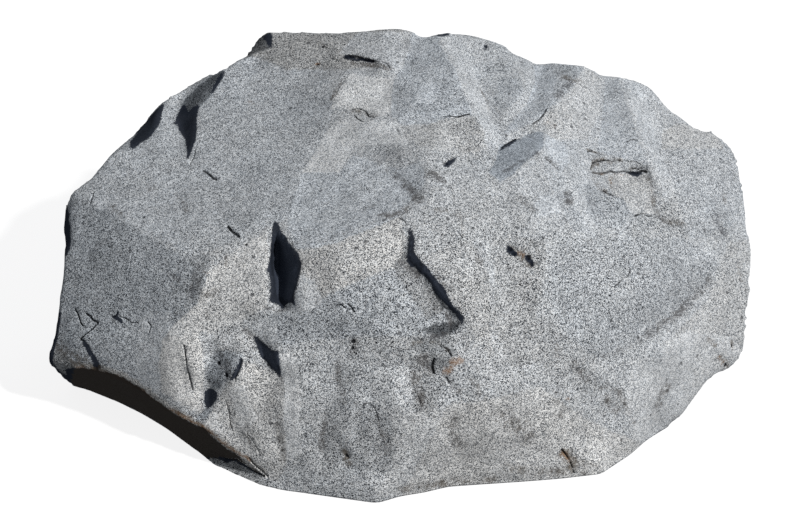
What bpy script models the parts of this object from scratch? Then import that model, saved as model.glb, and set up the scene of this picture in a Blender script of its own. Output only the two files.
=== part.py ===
"""A granite boulder, broken by frost and by the quarry, that rests on its own flat foot.

Metres, +Z up. The stone's long side runs along X, its front faces -Y, and it stands on Z = 0.

The stone is one piece, so it is one object. Its front and top are set out as a stonemason would, on a
board that leans back over the stone: each ridge, valley and lip is a line of corners, measured across
the board, up the board, and by how far the stone stands proud of a rounded blank. Blender's constrained
Delaunay triangulation spans the lines with fracture faces, and a second skin of the same kind closes
the back and the flat foot.
"""

import math
import random

import bmesh
import bpy
from mathutils import Vector
from mathutils.geometry import (
    barycentric_transform,
    delaunay_2d_cdt,
    intersect_point_line,
    intersect_point_tri_2d,
)

# The setting-out board.
BOARD_LEAN = math.radians(30)  # how far the line of sight through the board tips down
BOARD_HEIGHT = 0.290  # the board's centre above the ground
EYE_DISTANCE = 8.0  # sight lines through the board meet this far in front of it

# The rounded blank that the lines are measured from.
CROWN_DEPTH = 0.41  # how far the blank's crown stands in front of the board
CROWN_UP = -0.12  # where the crown is, up the board
UPPER_FALL = 1.4  # how fast the blank falls away above the crown, and below it
LOWER_FALL = 1.0
SIDE_REACH = 0.60  # this far from the middle, the blank has fallen by LEFT_FALL or RIGHT_FALL
LEFT_FALL, LEFT_POWER = 0.25, 1.3
RIGHT_FALL, RIGHT_POWER = 0.30, 1.5

# The big flat face on the upper left: how far out its plane is at the middle of the board, and its slopes.
BIG_FACE_OUT = 0.452
BIG_FACE_TO_THE_RIGHT = 0.376
BIG_FACE_UPWARDS = -1.127
BIG_FACE_END = -0.10  # it goes this far to the right

# Between the lines, loose corners break the wide faces up.
LOOSE_SPACING = 0.072  # one loose corner in each square of this side
LOOSE_COLUMNS = 11  # squares to the left and to the right of the middle one
LOOSE_ROWS = 7  # squares below and above it
LOOSE_WANDER = 0.30  # how far it strays from the middle of its square, as a part of the side
LOOSE_CLEARANCE = 0.030  # it keeps this far off every line
LOOSE_ROUGHNESS = 0.002  # how far it stands in or out of its neighbours
LOOSE_SEED = 5

# The back is split where its edges are longer than these, one round after the other.
BACK_SPLITS = (0.20, 0.14, 0.11)
BACK_ROUGHNESS = 0.09  # how far a break moves in or out, as a part of that length
BACK_SEED = 3

SAME_CORNER = 1e-5  # corners of two lines this close are one corner
DECIMALS = 6  # a corner's place is told from another's to this many decimals

GRANITE_COLOUR = (0.34, 0.35, 0.36, 1.0)
GRANITE_ROUGHNESS = 0.85

# The stone's outline on the board, clockwise from its left tip: across, up, proud.
OUTLINE_ABOVE_GROUND = [
    (-0.752, -0.205, 0.0),
    (-0.735, -0.14, 0.0),
    (-0.722, -0.05, -0.01),
    (-0.715, 0.026, -0.01),
    (-0.714, 0.046, -0.06),
    (-0.716, 0.095, -0.08),
    (-0.712, 0.138, -0.06),
    (-0.7, 0.157, 0.0),
    (-0.655, 0.192, -0.01),
    (-0.615, 0.24, -0.02),
    (-0.578, 0.27, -0.07),
    (-0.535, 0.318, -0.1),
    (-0.503, 0.352, -0.06),
    (-0.46, 0.382, -0.07),
    (-0.4, 0.412, -0.06),
    (-0.378, 0.422, -0.01),
    (-0.33, 0.447, -0.02),
    (-0.31, 0.475, -0.08),
    (-0.285, 0.5, -0.03),
    (-0.222, 0.5, -0.03),
    (-0.15, 0.498, -0.03),
    (-0.09, 0.498, -0.03),
    (-0.04, 0.505, -0.02),
    (0.0, 0.505, -0.02),
    (0.025, 0.498, -0.02),
    (0.056, 0.487, -0.02),
    (0.082, 0.495, 0.01),
    (0.1, 0.501, 0.0),
    (0.14, 0.494, -0.01),
    (0.185, 0.483, -0.01),
    (0.218, 0.473, -0.01),
    (0.24, 0.453, -0.02),
    (0.272, 0.444, -0.03),
    (0.287, 0.429, -0.03),
    (0.33, 0.432, -0.01),
    (0.392, 0.427, 0.03),
    (0.415, 0.416, 0.01),
    (0.427, 0.406, 0.0),
    (0.44, 0.404, 0.0),
    (0.466, 0.403, 0.02),
    (0.505, 0.4, 0.0),
    (0.533, 0.38, 0.0),
    (0.56, 0.345, -0.01),
    (0.585, 0.325, 0.0),
    (0.618, 0.299, 0.0),
    (0.665, 0.287, 0.01),
    (0.7, 0.265, 0.01),
    (0.72, 0.232, 0.01),
    (0.733, 0.16, 0.0),
    (0.741, 0.11, 0.0),
    (0.741, 0.08, 0.0),
    (0.751, 0.045, 0.0),
    (0.75, 0.0, 0.0),
    (0.744, -0.035, 0.0),
    (0.75, -0.052, 0.0),
    (0.741, -0.085, 0.0),
    (0.74, -0.15, 0.0),
    (0.728, -0.195, -0.01),
    (0.7, -0.222, -0.03),
    (0.668, -0.233, -0.03),
    (0.65, -0.25, -0.04),
    (0.6, -0.32, -0.05),
]
OUTLINE_ON_GROUND = [
    (0.57, -0.345),
    (0.53, -0.37),
    (0.49, -0.405),
    (0.43, -0.445),
    (0.36, -0.453),
    (0.3, -0.458),
    (0.2, -0.465),
    (0.1, -0.472),
    (0.05, -0.484),
    (0.0, -0.492),
    (-0.05, -0.507),
    (-0.1, -0.5),
    (-0.2, -0.486),
    (-0.255, -0.479),
    (-0.3, -0.469),
    (-0.345, -0.45),
    (-0.4, -0.425),
    (-0.45, -0.382),
    (-0.5, -0.345),
    (-0.55, -0.315),
    (-0.6, -0.29),
    (-0.67, -0.262),
    (-0.705, -0.253),
]

# The ridges, valleys and lips of the front and the top: across, up, proud. Lines meet in shared corners.
LEFT_END = {
    "left edge": [
        (-0.715, 0.026, -0.01), (-0.706, 0.05, -0.01), (-0.702, 0.07, 0.0), (-0.702, 0.11, -0.005),
        (-0.7, 0.157, 0.0),
    ],
    "left tip": [(-0.735, -0.14, 0.0), (-0.682, -0.155, 0.02), (-0.65, -0.218, 0.0)],
    "left face, middle": [(-0.66, -0.06, 0.01), (-0.58, -0.075, 0.02), (-0.55, -0.15, 0.02)],
    "left shoulder": [(-0.7, 0.157, 0.0), (-0.61, 0.11, 0.02), (-0.52, 0.055, 0.03), (-0.425, -0.01, 0.04)],
    "undercut lip": [
        (-0.752, -0.205, 0.0), (-0.71, -0.212, 0.0), (-0.65, -0.218, 0.0), (-0.6, -0.237, 0.0),
        (-0.55, -0.265, 0.0), (-0.5, -0.3, 0.01), (-0.455, -0.328, 0.01), (-0.412, -0.345, 0.02),
        (-0.36, -0.388, 0.01), (-0.32, -0.418, 0.01), (-0.29, -0.445, 0.0),
    ],
    "undercut ledge": [
        (-0.45, -0.382, 0.0), (-0.4, -0.398, -0.06), (-0.36, -0.416, -0.045), (-0.32, -0.436, -0.02),
        (-0.29, -0.445, 0.0),
    ],
    "left pillar": [
        (-0.295, 0.1, 0.0), (-0.325, 0.065, 0.01), (-0.36, 0.035, 0.02), (-0.425, -0.01, 0.04),
        (-0.418, -0.065, 0.04), (-0.45, -0.1, 0.04), (-0.487, -0.15, 0.04), (-0.495, -0.21, 0.03),
        (-0.482, -0.27, 0.02), (-0.455, -0.328, 0.01),
    ],
    "pillar groove, foot": [(-0.452, -0.185, 0.03), (-0.455, -0.225, 0.01), (-0.44, -0.28, 0.01)],
    "pillar groove, lip": [(-0.452, -0.185, 0.03), (-0.443, -0.225, 0.03), (-0.44, -0.28, 0.01)],
    "pillar slot, foot": [
        (-0.372, -0.175, 0.0), (-0.4, -0.2, -0.008), (-0.41, -0.235, -0.014), (-0.415, -0.268, -0.025),
        (-0.413, -0.303, -0.01), (-0.412, -0.345, 0.02),
    ],
    "pillar slot, lip": [
        (-0.372, -0.175, 0.0), (-0.342, -0.195, 0.015), (-0.35, -0.22, 0.02), (-0.365, -0.255, 0.015),
        (-0.385, -0.282, 0.01), (-0.4, -0.31, 0.01), (-0.412, -0.345, 0.02),
    ],
}
UPPER_LEFT = {
    "big face, upper": [(-0.445, 0.255, -0.045), (-0.33, 0.33, -0.06), (-0.23, 0.385, -0.05)],
    "big face, middle": [(-0.52, 0.15, -0.01), (-0.37, 0.19, -0.045), (-0.24, 0.27, -0.065)],
    "big face, lower": [
        (-0.4, 0.1, -0.01), (-0.29, 0.16, -0.04), (-0.17, 0.2, -0.055), (-0.1, 0.25, -0.06),
    ],
    "brow": [
        (-0.225, 0.035, 0.02), (-0.15, 0.045, 0.025), (-0.1, 0.062, 0.02), (-0.05, 0.085, 0.01),
        (0.0, 0.107, 0.01), (0.04, 0.14, 0.01), (0.07, 0.17, 0.02), (0.095, 0.19, 0.01),
    ],
    "above the brow": [(-0.18, 0.1, -0.025), (-0.1, 0.13, -0.025), (-0.04, 0.15, -0.03)],
    "dark corner, valley": [
        (-0.06, 0.265, -0.045), (-0.03, 0.225, -0.05), (-0.01, 0.19, -0.045), (0.02, 0.155, -0.02),
    ],
    "dark corner, crest": [
        (0.01, 0.245, -0.02), (0.055, 0.225, 0.01), (0.062, 0.205, 0.02), (0.07, 0.17, 0.02),
    ],
    "upper left notch, lip": [
        (-0.378, 0.422, -0.02), (-0.388, 0.398, -0.03), (-0.412, 0.368, -0.035), (-0.434, 0.332, -0.045),
        (-0.435, 0.29, -0.045), (-0.445, 0.255, -0.045), (-0.457, 0.222, -0.04),
    ],
    "upper left notch, foot": [
        (-0.4, 0.412, -0.06), (-0.44, 0.385, -0.08), (-0.466, 0.355, -0.09), (-0.482, 0.306, -0.09),
        (-0.468, 0.296, -0.1), (-0.462, 0.262, -0.08), (-0.457, 0.222, -0.04),
    ],
    "block between the notches": [
        (-0.466, 0.355, -0.09), (-0.49, 0.34, -0.07), (-0.5, 0.3, -0.05), (-0.51, 0.25, -0.03),
    ],
    "far left notch, lip": [
        (-0.503, 0.352, -0.06), (-0.52, 0.315, -0.04), (-0.528, 0.286, -0.03), (-0.55, 0.264, -0.03),
        (-0.576, 0.25, -0.02), (-0.578, 0.27, -0.07),
    ],
    "top left notch, lip": [
        (-0.33, 0.447, -0.02), (-0.298, 0.458, -0.03), (-0.283, 0.478, -0.03), (-0.285, 0.5, -0.03),
    ],
    "top left step": [(-0.283, 0.478, -0.03), (-0.22, 0.47, -0.03), (-0.165, 0.478, -0.03)],
}
MIDDLE = {
    "tall notch, arris": [
        (-0.27, 0.092, -0.01), (-0.276, 0.055, 0.0), (-0.281, 0.02, 0.012), (-0.281, -0.012, 0.015),
        (-0.272, -0.032, 0.01), (-0.276, -0.074, 0.0), (-0.285, -0.105, -0.01),
    ],
    "tall notch, foot": [
        (-0.27, 0.092, -0.01), (-0.267, 0.05, -0.06), (-0.27, 0.0, -0.08), (-0.262, -0.036, -0.08),
        (-0.264, -0.07, -0.06), (-0.248, -0.086, -0.05), (-0.225, -0.088, -0.01),
    ],
    "tall notch, lip": [
        (-0.27, 0.092, -0.01), (-0.25, 0.062, 0.01), (-0.225, 0.035, 0.02), (-0.205, 0.002, 0.02),
        (-0.22, -0.035, 0.02), (-0.225, -0.088, -0.01),
    ],
    "bright band, foot": [
        (-0.22, -0.035, 0.02), (-0.15, -0.05, 0.015), (-0.1, -0.038, 0.01), (-0.05, -0.022, 0.0),
        (0.0, -0.002, -0.02),
    ],
    "grey band": [(-0.285, -0.105, -0.01), (-0.2, -0.105, 0.0), (-0.1, -0.1, 0.0)],
    "crevice, foot": [
        (0.015, 0.088, 0.0), (0.016, 0.055, -0.012), (0.014, 0.018, -0.018), (0.048, -0.02, -0.02),
        (0.078, -0.06, -0.022), (0.108, -0.09, -0.018), (0.118, -0.122, -0.018), (0.052, -0.133, -0.025),
    ],
    "crevice, lip": [
        (0.015, 0.088, 0.0), (0.031, 0.06, 0.008), (0.032, 0.025, 0.014), (0.06, -0.006, 0.016),
        (0.084, -0.036, 0.016), (0.108, -0.074, 0.016), (0.136, -0.108, 0.014), (0.128, -0.142, 0.0),
        (0.075, -0.16, -0.02), (0.052, -0.133, -0.025),
    ],
    "crevice, shelf": [(0.0, -0.002, -0.02), (0.014, 0.018, -0.018)],
    "small notch, foot": [
        (-0.285, -0.105, -0.01), (-0.335, -0.13, -0.02), (-0.3, -0.166, -0.032),
        (-0.284, -0.194, -0.035), (-0.258, -0.238, -0.02),
    ],
    "small notch, lip": [
        (-0.335, -0.13, -0.02), (-0.3, -0.153, -0.02), (-0.278, -0.178, -0.01), (-0.262, -0.182, 0.0),
        (-0.26, -0.205, 0.0), (-0.258, -0.238, -0.02),
    ],
    "middle ledge": [
        (-0.262, -0.182, 0.0), (-0.19, -0.165, -0.02), (-0.1, -0.15, -0.02), (-0.03, -0.165, -0.025),
        (0.03, -0.165, -0.03), (0.075, -0.16, -0.02),
    ],
    "right of the crevice": [
        (0.07, 0.17, 0.02), (0.06, 0.12, 0.02), (0.1, 0.05, 0.02), (0.145, -0.03, 0.025),
        (0.16, -0.11, 0.02), (0.165, -0.18, 0.015), (0.19, -0.27, 0.01),
    ],
    "middle trough": [(0.2, 0.1, -0.01), (0.235, 0.01, -0.01), (0.245, -0.08, -0.01), (0.24, -0.16, 0.0)],
    "middle rib": [(0.29, 0.06, 0.01), (0.305, -0.03, 0.015), (0.31, -0.11, 0.01), (0.33, -0.19, 0.01)],
}
LOWER_FRONT = {
    "scoop": [(0.025, -0.19, -0.01), (0.06, -0.178, 0.0), (0.105, -0.195, 0.0), (0.115, -0.225, 0.0)],
    "scoop, foot": [(0.035, -0.225, -0.02), (0.068, -0.222, -0.025), (0.085, -0.255, -0.01)],
    "flute 1, valley": [(-0.37, -0.285, 0.0), (-0.352, -0.345, 0.0), (-0.33, -0.395, 0.005)],
    "flute 1": [(-0.33, -0.275, 0.012), (-0.31, -0.34, 0.012), (-0.29, -0.405, 0.01)],
    "flute 2, valley": [(-0.29, -0.3, 0.008), (-0.265, -0.35, 0.0), (-0.25, -0.41, 0.0)],
    "flute 2": [(-0.215, -0.25, 0.015), (-0.215, -0.32, 0.01), (-0.205, -0.4, 0.006)],
    "flute 3, valley": [
        (-0.13, -0.2, -0.01), (-0.14, -0.27, -0.004), (-0.165, -0.33, -0.005), (-0.17, -0.4, -0.002),
    ],
    "flute 3": [(-0.085, -0.22, 0.0), (-0.1, -0.3, 0.008), (-0.115, -0.37, 0.008)],
    "flute 4, valley": [(-0.065, -0.3, 0.0), (-0.045, -0.34, -0.005), (-0.035, -0.4, -0.012)],
    "flute 4": [(-0.02, -0.22, 0.0), (-0.005, -0.3, 0.006), (0.005, -0.39, -0.014)],
    "right foot, rib": [(0.19, -0.27, 0.01), (0.2, -0.35, 0.0), (0.22, -0.42, -0.018)],
    "right foot, hollow": [(0.11, -0.3, -0.004), (0.11, -0.38, -0.027), (0.13, -0.43, -0.048)],
    "front right rib": [(0.33, -0.19, 0.01), (0.35, -0.28, 0.01), (0.34, -0.38, 0.01)],
    "front right hollow": [(0.43, -0.25, 0.0), (0.45, -0.29, -0.005), (0.49, -0.33, -0.01)],
}
TOP = {
    "saddle lip": [
        (-0.165, 0.478, -0.02), (-0.13, 0.449, -0.02), (-0.09, 0.445, -0.01), (-0.055, 0.438, -0.01),
        (-0.02, 0.425, -0.01),
    ],
    "saddle root": [
        (-0.165, 0.478, -0.02), (-0.145, 0.44, -0.04), (-0.1, 0.432, -0.05), (-0.06, 0.424, -0.05),
        (-0.02, 0.425, -0.01),
    ],
    "warm facet, edge": [
        (-0.012, 0.4, -0.035), (-0.065, 0.404, -0.03), (-0.105, 0.413, -0.02), (-0.125, 0.385, -0.015),
        (-0.142, 0.358, -0.02), (-0.15, 0.32, -0.045),
    ],
    "warm facet, foot": [
        (-0.15, 0.32, -0.045), (-0.1, 0.333, -0.035), (-0.045, 0.318, -0.03), (-0.018, 0.325, -0.045),
    ],
    "gable, left valley": [
        (0.025, 0.498, -0.02), (0.018, 0.465, -0.035), (0.01, 0.43, -0.045), (-0.012, 0.4, -0.035),
        (-0.02, 0.36, -0.045), (-0.018, 0.325, -0.045), (0.0, 0.303, -0.035),
    ],
    "gable, sill": [(0.0, 0.303, -0.035), (0.06, 0.303, -0.015), (0.1, 0.32, 0.0), (0.158, 0.324, 0.02)],
    "gable, rib": [(0.1, 0.455, 0.02), (0.068, 0.405, 0.0), (0.045, 0.365, 0.0), (0.06, 0.303, -0.015)],
    "gable, crest": [
        (0.082, 0.495, 0.01), (0.1, 0.455, 0.02), (0.12, 0.415, 0.03), (0.136, 0.37, 0.03),
        (0.158, 0.324, 0.02), (0.183, 0.285, 0.01), (0.213, 0.256, -0.02),
    ],
    "gable, foot": [
        (0.14, 0.47, -0.01), (0.155, 0.43, -0.025), (0.172, 0.39, -0.03), (0.186, 0.35, -0.03),
        (0.198, 0.312, -0.03), (0.21, 0.285, -0.02), (0.213, 0.256, -0.02),
    ],
    "shield, top": [(0.155, 0.43, -0.025), (0.195, 0.44, -0.01), (0.24, 0.432, 0.0), (0.287, 0.429, -0.03)],
    "shield, crest": [
        (0.24, 0.432, 0.0), (0.266, 0.4, 0.015), (0.264, 0.372, 0.015), (0.24, 0.345, 0.01),
        (0.215, 0.318, -0.01), (0.21, 0.285, -0.02),
    ],
    "blade, valley": [
        (0.287, 0.429, -0.03), (0.29, 0.398, -0.02), (0.28, 0.362, -0.02), (0.255, 0.332, -0.02),
        (0.23, 0.305, -0.02), (0.21, 0.285, -0.02),
    ],
    "blade, crest": [
        (0.392, 0.427, 0.03), (0.38, 0.408, 0.04), (0.355, 0.378, 0.045), (0.325, 0.345, 0.035),
        (0.298, 0.315, 0.02), (0.262, 0.298, 0.0), (0.23, 0.285, -0.01),
    ],
    "blade, foot": [(0.298, 0.315, 0.02), (0.3, 0.305, 0.0), (0.29, 0.287, -0.01)],
    "slate facet, top": [
        (0.095, 0.19, 0.01), (0.15, 0.215, -0.01), (0.195, 0.235, -0.025), (0.213, 0.256, -0.02),
        (0.25, 0.27, -0.02), (0.29, 0.287, -0.01), (0.306, 0.285, 0.01),
    ],
    "slate facet, lip": [
        (0.306, 0.285, 0.01), (0.304, 0.255, 0.03), (0.272, 0.226, 0.03), (0.248, 0.203, 0.025),
        (0.235, 0.175, 0.01), (0.2, 0.192, -0.01), (0.15, 0.215, -0.01),
    ],
}
UPPER_RIGHT = {
    "warm facet right, foot": [
        (0.235, 0.175, 0.01), (0.26, 0.14, 0.0), (0.3, 0.12, 0.0), (0.345, 0.135, 0.01),
    ],
    "riser, crest": [
        (0.306, 0.285, 0.01), (0.33, 0.235, 0.02), (0.352, 0.193, 0.02), (0.372, 0.145, 0.02),
        (0.398, 0.092, 0.015), (0.415, 0.055, 0.01),
    ],
    "riser, foot": [
        (0.347, 0.268, 0.0), (0.37, 0.235, -0.005), (0.39, 0.19, -0.005), (0.4, 0.14, -0.005),
        (0.42, 0.1, -0.01), (0.435, 0.055, 0.0),
    ],
    "small dark facet": [
        (0.352, 0.193, 0.02), (0.345, 0.16, 0.0), (0.345, 0.135, 0.01), (0.372, 0.145, 0.02),
    ],
    "right gable, foot": [
        (0.44, 0.404, 0.0), (0.432, 0.34, -0.01), (0.424, 0.285, -0.015), (0.428, 0.245, -0.02),
        (0.405, 0.226, -0.01),
    ],
    "right gable, crest": [
        (0.466, 0.403, 0.02), (0.485, 0.36, 0.045), (0.502, 0.315, 0.045), (0.52, 0.262, 0.045),
        (0.534, 0.222, 0.035), (0.545, 0.19, 0.025), (0.562, 0.155, 0.015), (0.582, 0.13, 0.01),
    ],
    "right riser, foot": [
        (0.533, 0.38, 0.0), (0.536, 0.335, -0.005), (0.546, 0.285, -0.005), (0.556, 0.235, -0.005),
        (0.57, 0.18, 0.0), (0.582, 0.13, 0.01),
    ],
    "brown ledge, lip": [
        (0.405, 0.226, -0.01), (0.43, 0.232, 0.01), (0.5, 0.229, 0.02), (0.534, 0.222, 0.035),
    ],
    "brown ledge, root": [
        (0.405, 0.226, -0.01), (0.412, 0.204, -0.03), (0.455, 0.199, -0.03), (0.5, 0.197, -0.03),
        (0.53, 0.197, 0.0), (0.534, 0.222, 0.035),
    ],
    "brown ledge, left": [
        (0.412, 0.204, -0.03), (0.418, 0.175, -0.025), (0.44, 0.155, -0.015), (0.475, 0.14, -0.01),
    ],
    "brown ledge, right": [(0.53, 0.197, 0.0), (0.532, 0.16, -0.005), (0.548, 0.115, -0.005)],
    "brown ledge, floor": [
        (0.435, 0.055, 0.0), (0.48, 0.1, 0.0), (0.515, 0.108, -0.01), (0.548, 0.115, -0.005),
        (0.582, 0.13, 0.01),
    ],
    "right face, middle": [(0.62, 0.24, 0.02), (0.65, 0.18, 0.02), (0.64, 0.12, 0.01)],
    "right hollow": [(0.64, 0.12, 0.01), (0.67, 0.112, 0.0), (0.697, 0.105, 0.0), (0.704, 0.07, 0.01)],
    "right hollow, foot": [(0.704, 0.07, 0.01), (0.66, 0.05, 0.0), (0.6, 0.06, 0.0)],
    "right band, upper lip": [
        (0.64, 0.015, 0.01), (0.56, -0.02, 0.01), (0.48, -0.06, 0.01), (0.4, -0.1, 0.0),
    ],
    "right band, valley": [
        (0.665, -0.025, -0.01), (0.6, -0.08, -0.02), (0.54, -0.13, -0.02), (0.47, -0.18, -0.01),
    ],
    "right band, lower lip": [(0.7, -0.07, 0.0), (0.63, -0.14, 0.005), (0.55, -0.2, 0.01)],
}
LINES = LEFT_END | UPPER_LEFT | MIDDLE | LOWER_FRONT | TOP | UPPER_RIGHT

# The side that is away from the board, in the stone's own frame. The foot's back edge lies on the ground.
BACK_FOOT = [
    (0.6, 0.0, 0.0),
    (0.61, 0.18, 0.0),
    (0.5, 0.36, 0.0),
    (0.22, 0.46, 0.0),
    (-0.08, 0.44, 0.0),
    (-0.36, 0.4, 0.0),
    (-0.56, 0.3, 0.0),
    (-0.66, 0.14, 0.0),
]
BACK_LINES = {
    "back belt": [
        (0.66, -0.03, 0.08), (0.715, 0.09, 0.22), (0.69, 0.25, 0.24), (0.575, 0.43, 0.24),
        (0.34, 0.53, 0.22), (0.06, 0.565, 0.28), (-0.22, 0.53, 0.22), (-0.46, 0.47, 0.27),
        (-0.62, 0.34, 0.23), (-0.695, 0.16, 0.24), (-0.69, 0.0, 0.16),
    ],
    "back crown": [
        (0.715, 0.09, 0.22), (0.67, 0.23, 0.36), (0.58, 0.4, 0.39), (0.4, 0.47, 0.43), (0.18, 0.52, 0.47),
        (-0.06, 0.5, 0.53), (-0.24, 0.51, 0.46), (-0.44, 0.44, 0.42), (-0.6, 0.3, 0.34),
        (-0.695, 0.16, 0.24),
    ],
    "back rib": [(0.18, 0.52, 0.47), (0.12, 0.57, 0.38), (0.06, 0.565, 0.28), (-0.08, 0.44, 0.0)],
    "back corner": [(-0.44, 0.44, 0.42), (-0.46, 0.47, 0.27), (-0.36, 0.4, 0.0)],
    "back right corner": [(0.58, 0.4, 0.39), (0.575, 0.43, 0.24), (0.5, 0.36, 0.0)],
}


def blank(across, up):
    """How far the rounded blank stands in front of the board there."""
    fall = UPPER_FALL if up > CROWN_UP else LOWER_FALL
    side, power = (LEFT_FALL, LEFT_POWER) if across < 0 else (RIGHT_FALL, RIGHT_POWER)
    return CROWN_DEPTH - fall * (up - CROWN_UP) ** 2 - side * (abs(across) / SIDE_REACH) ** power


def big_face(across, up):
    """How far the big flat face stands in front of the board there."""
    return BIG_FACE_OUT + BIG_FACE_TO_THE_RIGHT * across + BIG_FACE_UPWARDS * up


def ground(across, up):
    """How far in front of the board the sight line meets the ground."""
    rise = up * math.cos(BOARD_LEAN)
    return -(BOARD_HEIGHT + rise) / (math.sin(BOARD_LEAN) - rise / EYE_DISTANCE)


def off_the_board(across, up, out):
    """The place in the stone's frame of a corner that stands out from the board, along its sight line."""
    along = 1 - out / EYE_DISTANCE
    slope = Vector((0, math.sin(BOARD_LEAN), math.cos(BOARD_LEAN)))
    facing = Vector((0, -math.cos(BOARD_LEAN), math.sin(BOARD_LEAN)))
    centre = Vector((0, 0, BOARD_HEIGHT))
    place = centre + Vector((across * along, 0, 0)) + slope * up * along + facing * out
    if abs(place.z) < SAME_CORNER:
        place.z = 0
    return place


def on_the_board(place):
    """Across and up the board for a place in the stone's frame."""
    rise = place.z - BOARD_HEIGHT
    up = place.y * math.sin(BOARD_LEAN) + rise * math.cos(BOARD_LEAN)
    out = -place.y * math.cos(BOARD_LEAN) + rise * math.sin(BOARD_LEAN)
    along = 1 - out / EYE_DISTANCE
    return place.x / along, up / along


def spans(outline, lines):
    """The triangles that span the lines inside the outline. A corner is across, up and anything else."""
    corners = list(outline)
    edges = []
    for line in lines:
        first = len(corners)
        corners += line
        edges += [(n, n + 1) for n in range(first, len(corners) - 1)]
    flat = [Vector(corner[:2]) for corner in corners]
    ring = list(range(len(outline)))
    inside_the_ring = 1
    made = delaunay_2d_cdt(flat, edges, [ring], inside_the_ring, SAME_CORNER)
    faces, sources = made[2], made[3]
    crossings = [tuple(made[0][n]) for n, source in enumerate(sources) if not source]
    if crossings:
        raise ValueError(f"lines cross away from a shared corner, near {crossings}")
    return [[corners[min(sources[n])] for n in face] for face in faces]


def gap(spot, start, end):
    """How far the spot is from the straight piece of line between the two ends."""
    nearest, share = intersect_point_line(spot, start, end)
    if share < 0:
        return math.dist(spot, start)
    if share > 1:
        return math.dist(spot, end)
    return math.dist(spot, nearest.to_2d())


def proud_between(spot, triangles):
    """How far the spans stand proud of the blank at the spot, or None outside the outline."""
    for triangle in triangles:
        corners = [Vector(corner) for corner in triangle]
        flat = [corner.to_2d() for corner in corners]
        if intersect_point_tri_2d(spot, *flat):
            return barycentric_transform(spot.to_3d(), *(corner.to_3d() for corner in flat), *corners).z
    return None


def loose_corners(outline, lines):
    """Corners scattered between the lines."""
    scatter = random.Random(LOOSE_SEED)
    triangles = spans(outline, lines)
    ring = [*outline, outline[0]]
    pieces = [(Vector(a[:2]), Vector(b[:2])) for line in [ring, *lines] for a, b in zip(line, line[1:])]
    loose = []
    for column in range(-LOOSE_COLUMNS, LOOSE_COLUMNS + 1):
        for row in range(-LOOSE_ROWS, LOOSE_ROWS + 1):
            across = (column + scatter.uniform(-LOOSE_WANDER, LOOSE_WANDER)) * LOOSE_SPACING
            up = (row + scatter.uniform(-LOOSE_WANDER, LOOSE_WANDER)) * LOOSE_SPACING
            rough = scatter.uniform(-LOOSE_ROUGHNESS, LOOSE_ROUGHNESS)
            spot = Vector((across, up))
            if min(gap(spot, *piece) for piece in pieces) < LOOSE_CLEARANCE:
                continue
            proud = proud_between(spot, triangles)
            if proud is None:
                continue
            if across < BIG_FACE_END:
                proud = min(proud, big_face(across, up) - blank(across, up))
            loose.append((across, up, proud + rough))
    return loose


def front_corner(across, up, proud):
    return across, up, off_the_board(across, up, blank(across, up) + proud)


def back_corner(x, y, z):
    place = Vector((x, y, z))
    return (*on_the_board(place), place)


def add_skin(shell, triangles):
    for triangle in triangles:
        shell.faces.new([shell.verts.new(place) for across, up, place in triangle])
    bmesh.ops.remove_doubles(shell, verts=shell.verts, dist=SAME_CORNER)


def split_long_edges(shell):
    """Rough breaks halfway along the long edges, none on the outline and none on the flat foot."""
    scatter = random.Random(BACK_SEED)
    for longest in BACK_SPLITS:
        set_out = {corner.co.to_tuple(DECIMALS) for corner in shell.verts}
        inner = [edge for edge in shell.edges if not edge.is_boundary and edge.calc_length() > longest]
        above = [edge for edge in inner if max(corner.co.z for corner in edge.verts) > SAME_CORNER]
        bmesh.ops.subdivide_edges(shell, edges=above, cuts=1)
        bmesh.ops.triangulate(shell, faces=shell.faces)
        shell.normal_update()
        for corner in shell.verts:
            if corner.co.to_tuple(DECIMALS) not in set_out:
                corner.co += corner.normal * longest * scatter.uniform(-BACK_ROUGHNESS, BACK_ROUGHNESS)


def boulder_mesh():
    foot = [(across, up, ground(across, up) - blank(across, up)) for across, up in OUTLINE_ON_GROUND]
    outline = OUTLINE_ABOVE_GROUND + foot
    lines = list(LINES.values())
    lines += [[corner] for corner in loose_corners(outline, lines)]
    rim = [front_corner(*corner) for corner in outline]
    front_lines = [[front_corner(*corner) for corner in line] for line in lines]
    back_lines = [[back_corner(*corner) for corner in line] for line in BACK_LINES.values()]
    foot_right, foot_left = rim[len(OUTLINE_ABOVE_GROUND)], rim[-1]
    back_foot = [back_corner(*corner) for corner in BACK_FOOT]
    back_lines.append([foot_right, *back_foot, foot_left])

    shell = bmesh.new()
    add_skin(shell, spans(rim, back_lines))
    split_long_edges(shell)
    add_skin(shell, spans(rim, front_lines))
    bmesh.ops.recalc_face_normals(shell, faces=shell.faces)
    mesh = bpy.data.meshes.new("boulder")
    shell.to_mesh(mesh)
    shell.free()
    return mesh


def granite():
    material = bpy.data.materials.new("granite")
    material.use_nodes = True
    surface = material.node_tree.nodes["Principled BSDF"]
    surface.inputs["Base Color"].default_value = GRANITE_COLOUR
    surface.inputs["Roughness"].default_value = GRANITE_ROUGHNESS
    surface.inputs["Metallic"].default_value = 0.0
    return material


def build():
    for old in list(bpy.data.objects):
        bpy.data.objects.remove(old)
    collection = bpy.data.collections.new("boulder")
    bpy.context.scene.collection.children.link(collection)
    stone = bpy.data.objects.new("boulder", boulder_mesh())
    stone.data.materials.append(granite())
    collection.objects.link(stone)
    return stone


build()
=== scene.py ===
"""A broken granite boulder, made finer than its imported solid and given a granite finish.

The solid's faces are softened, flaked, cracked and pitted. Metres, +Z up. The stone's long side runs along
X, its front faces -Y, and its flat foot is on Z = 0. Marks on the front and the top are set out on the
stonemason's board that leans back over the stone: each is given by how far across and how far up the
board it is, and is carried along its line of sight onto the stone.
"""

import math
from contextlib import contextmanager

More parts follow.
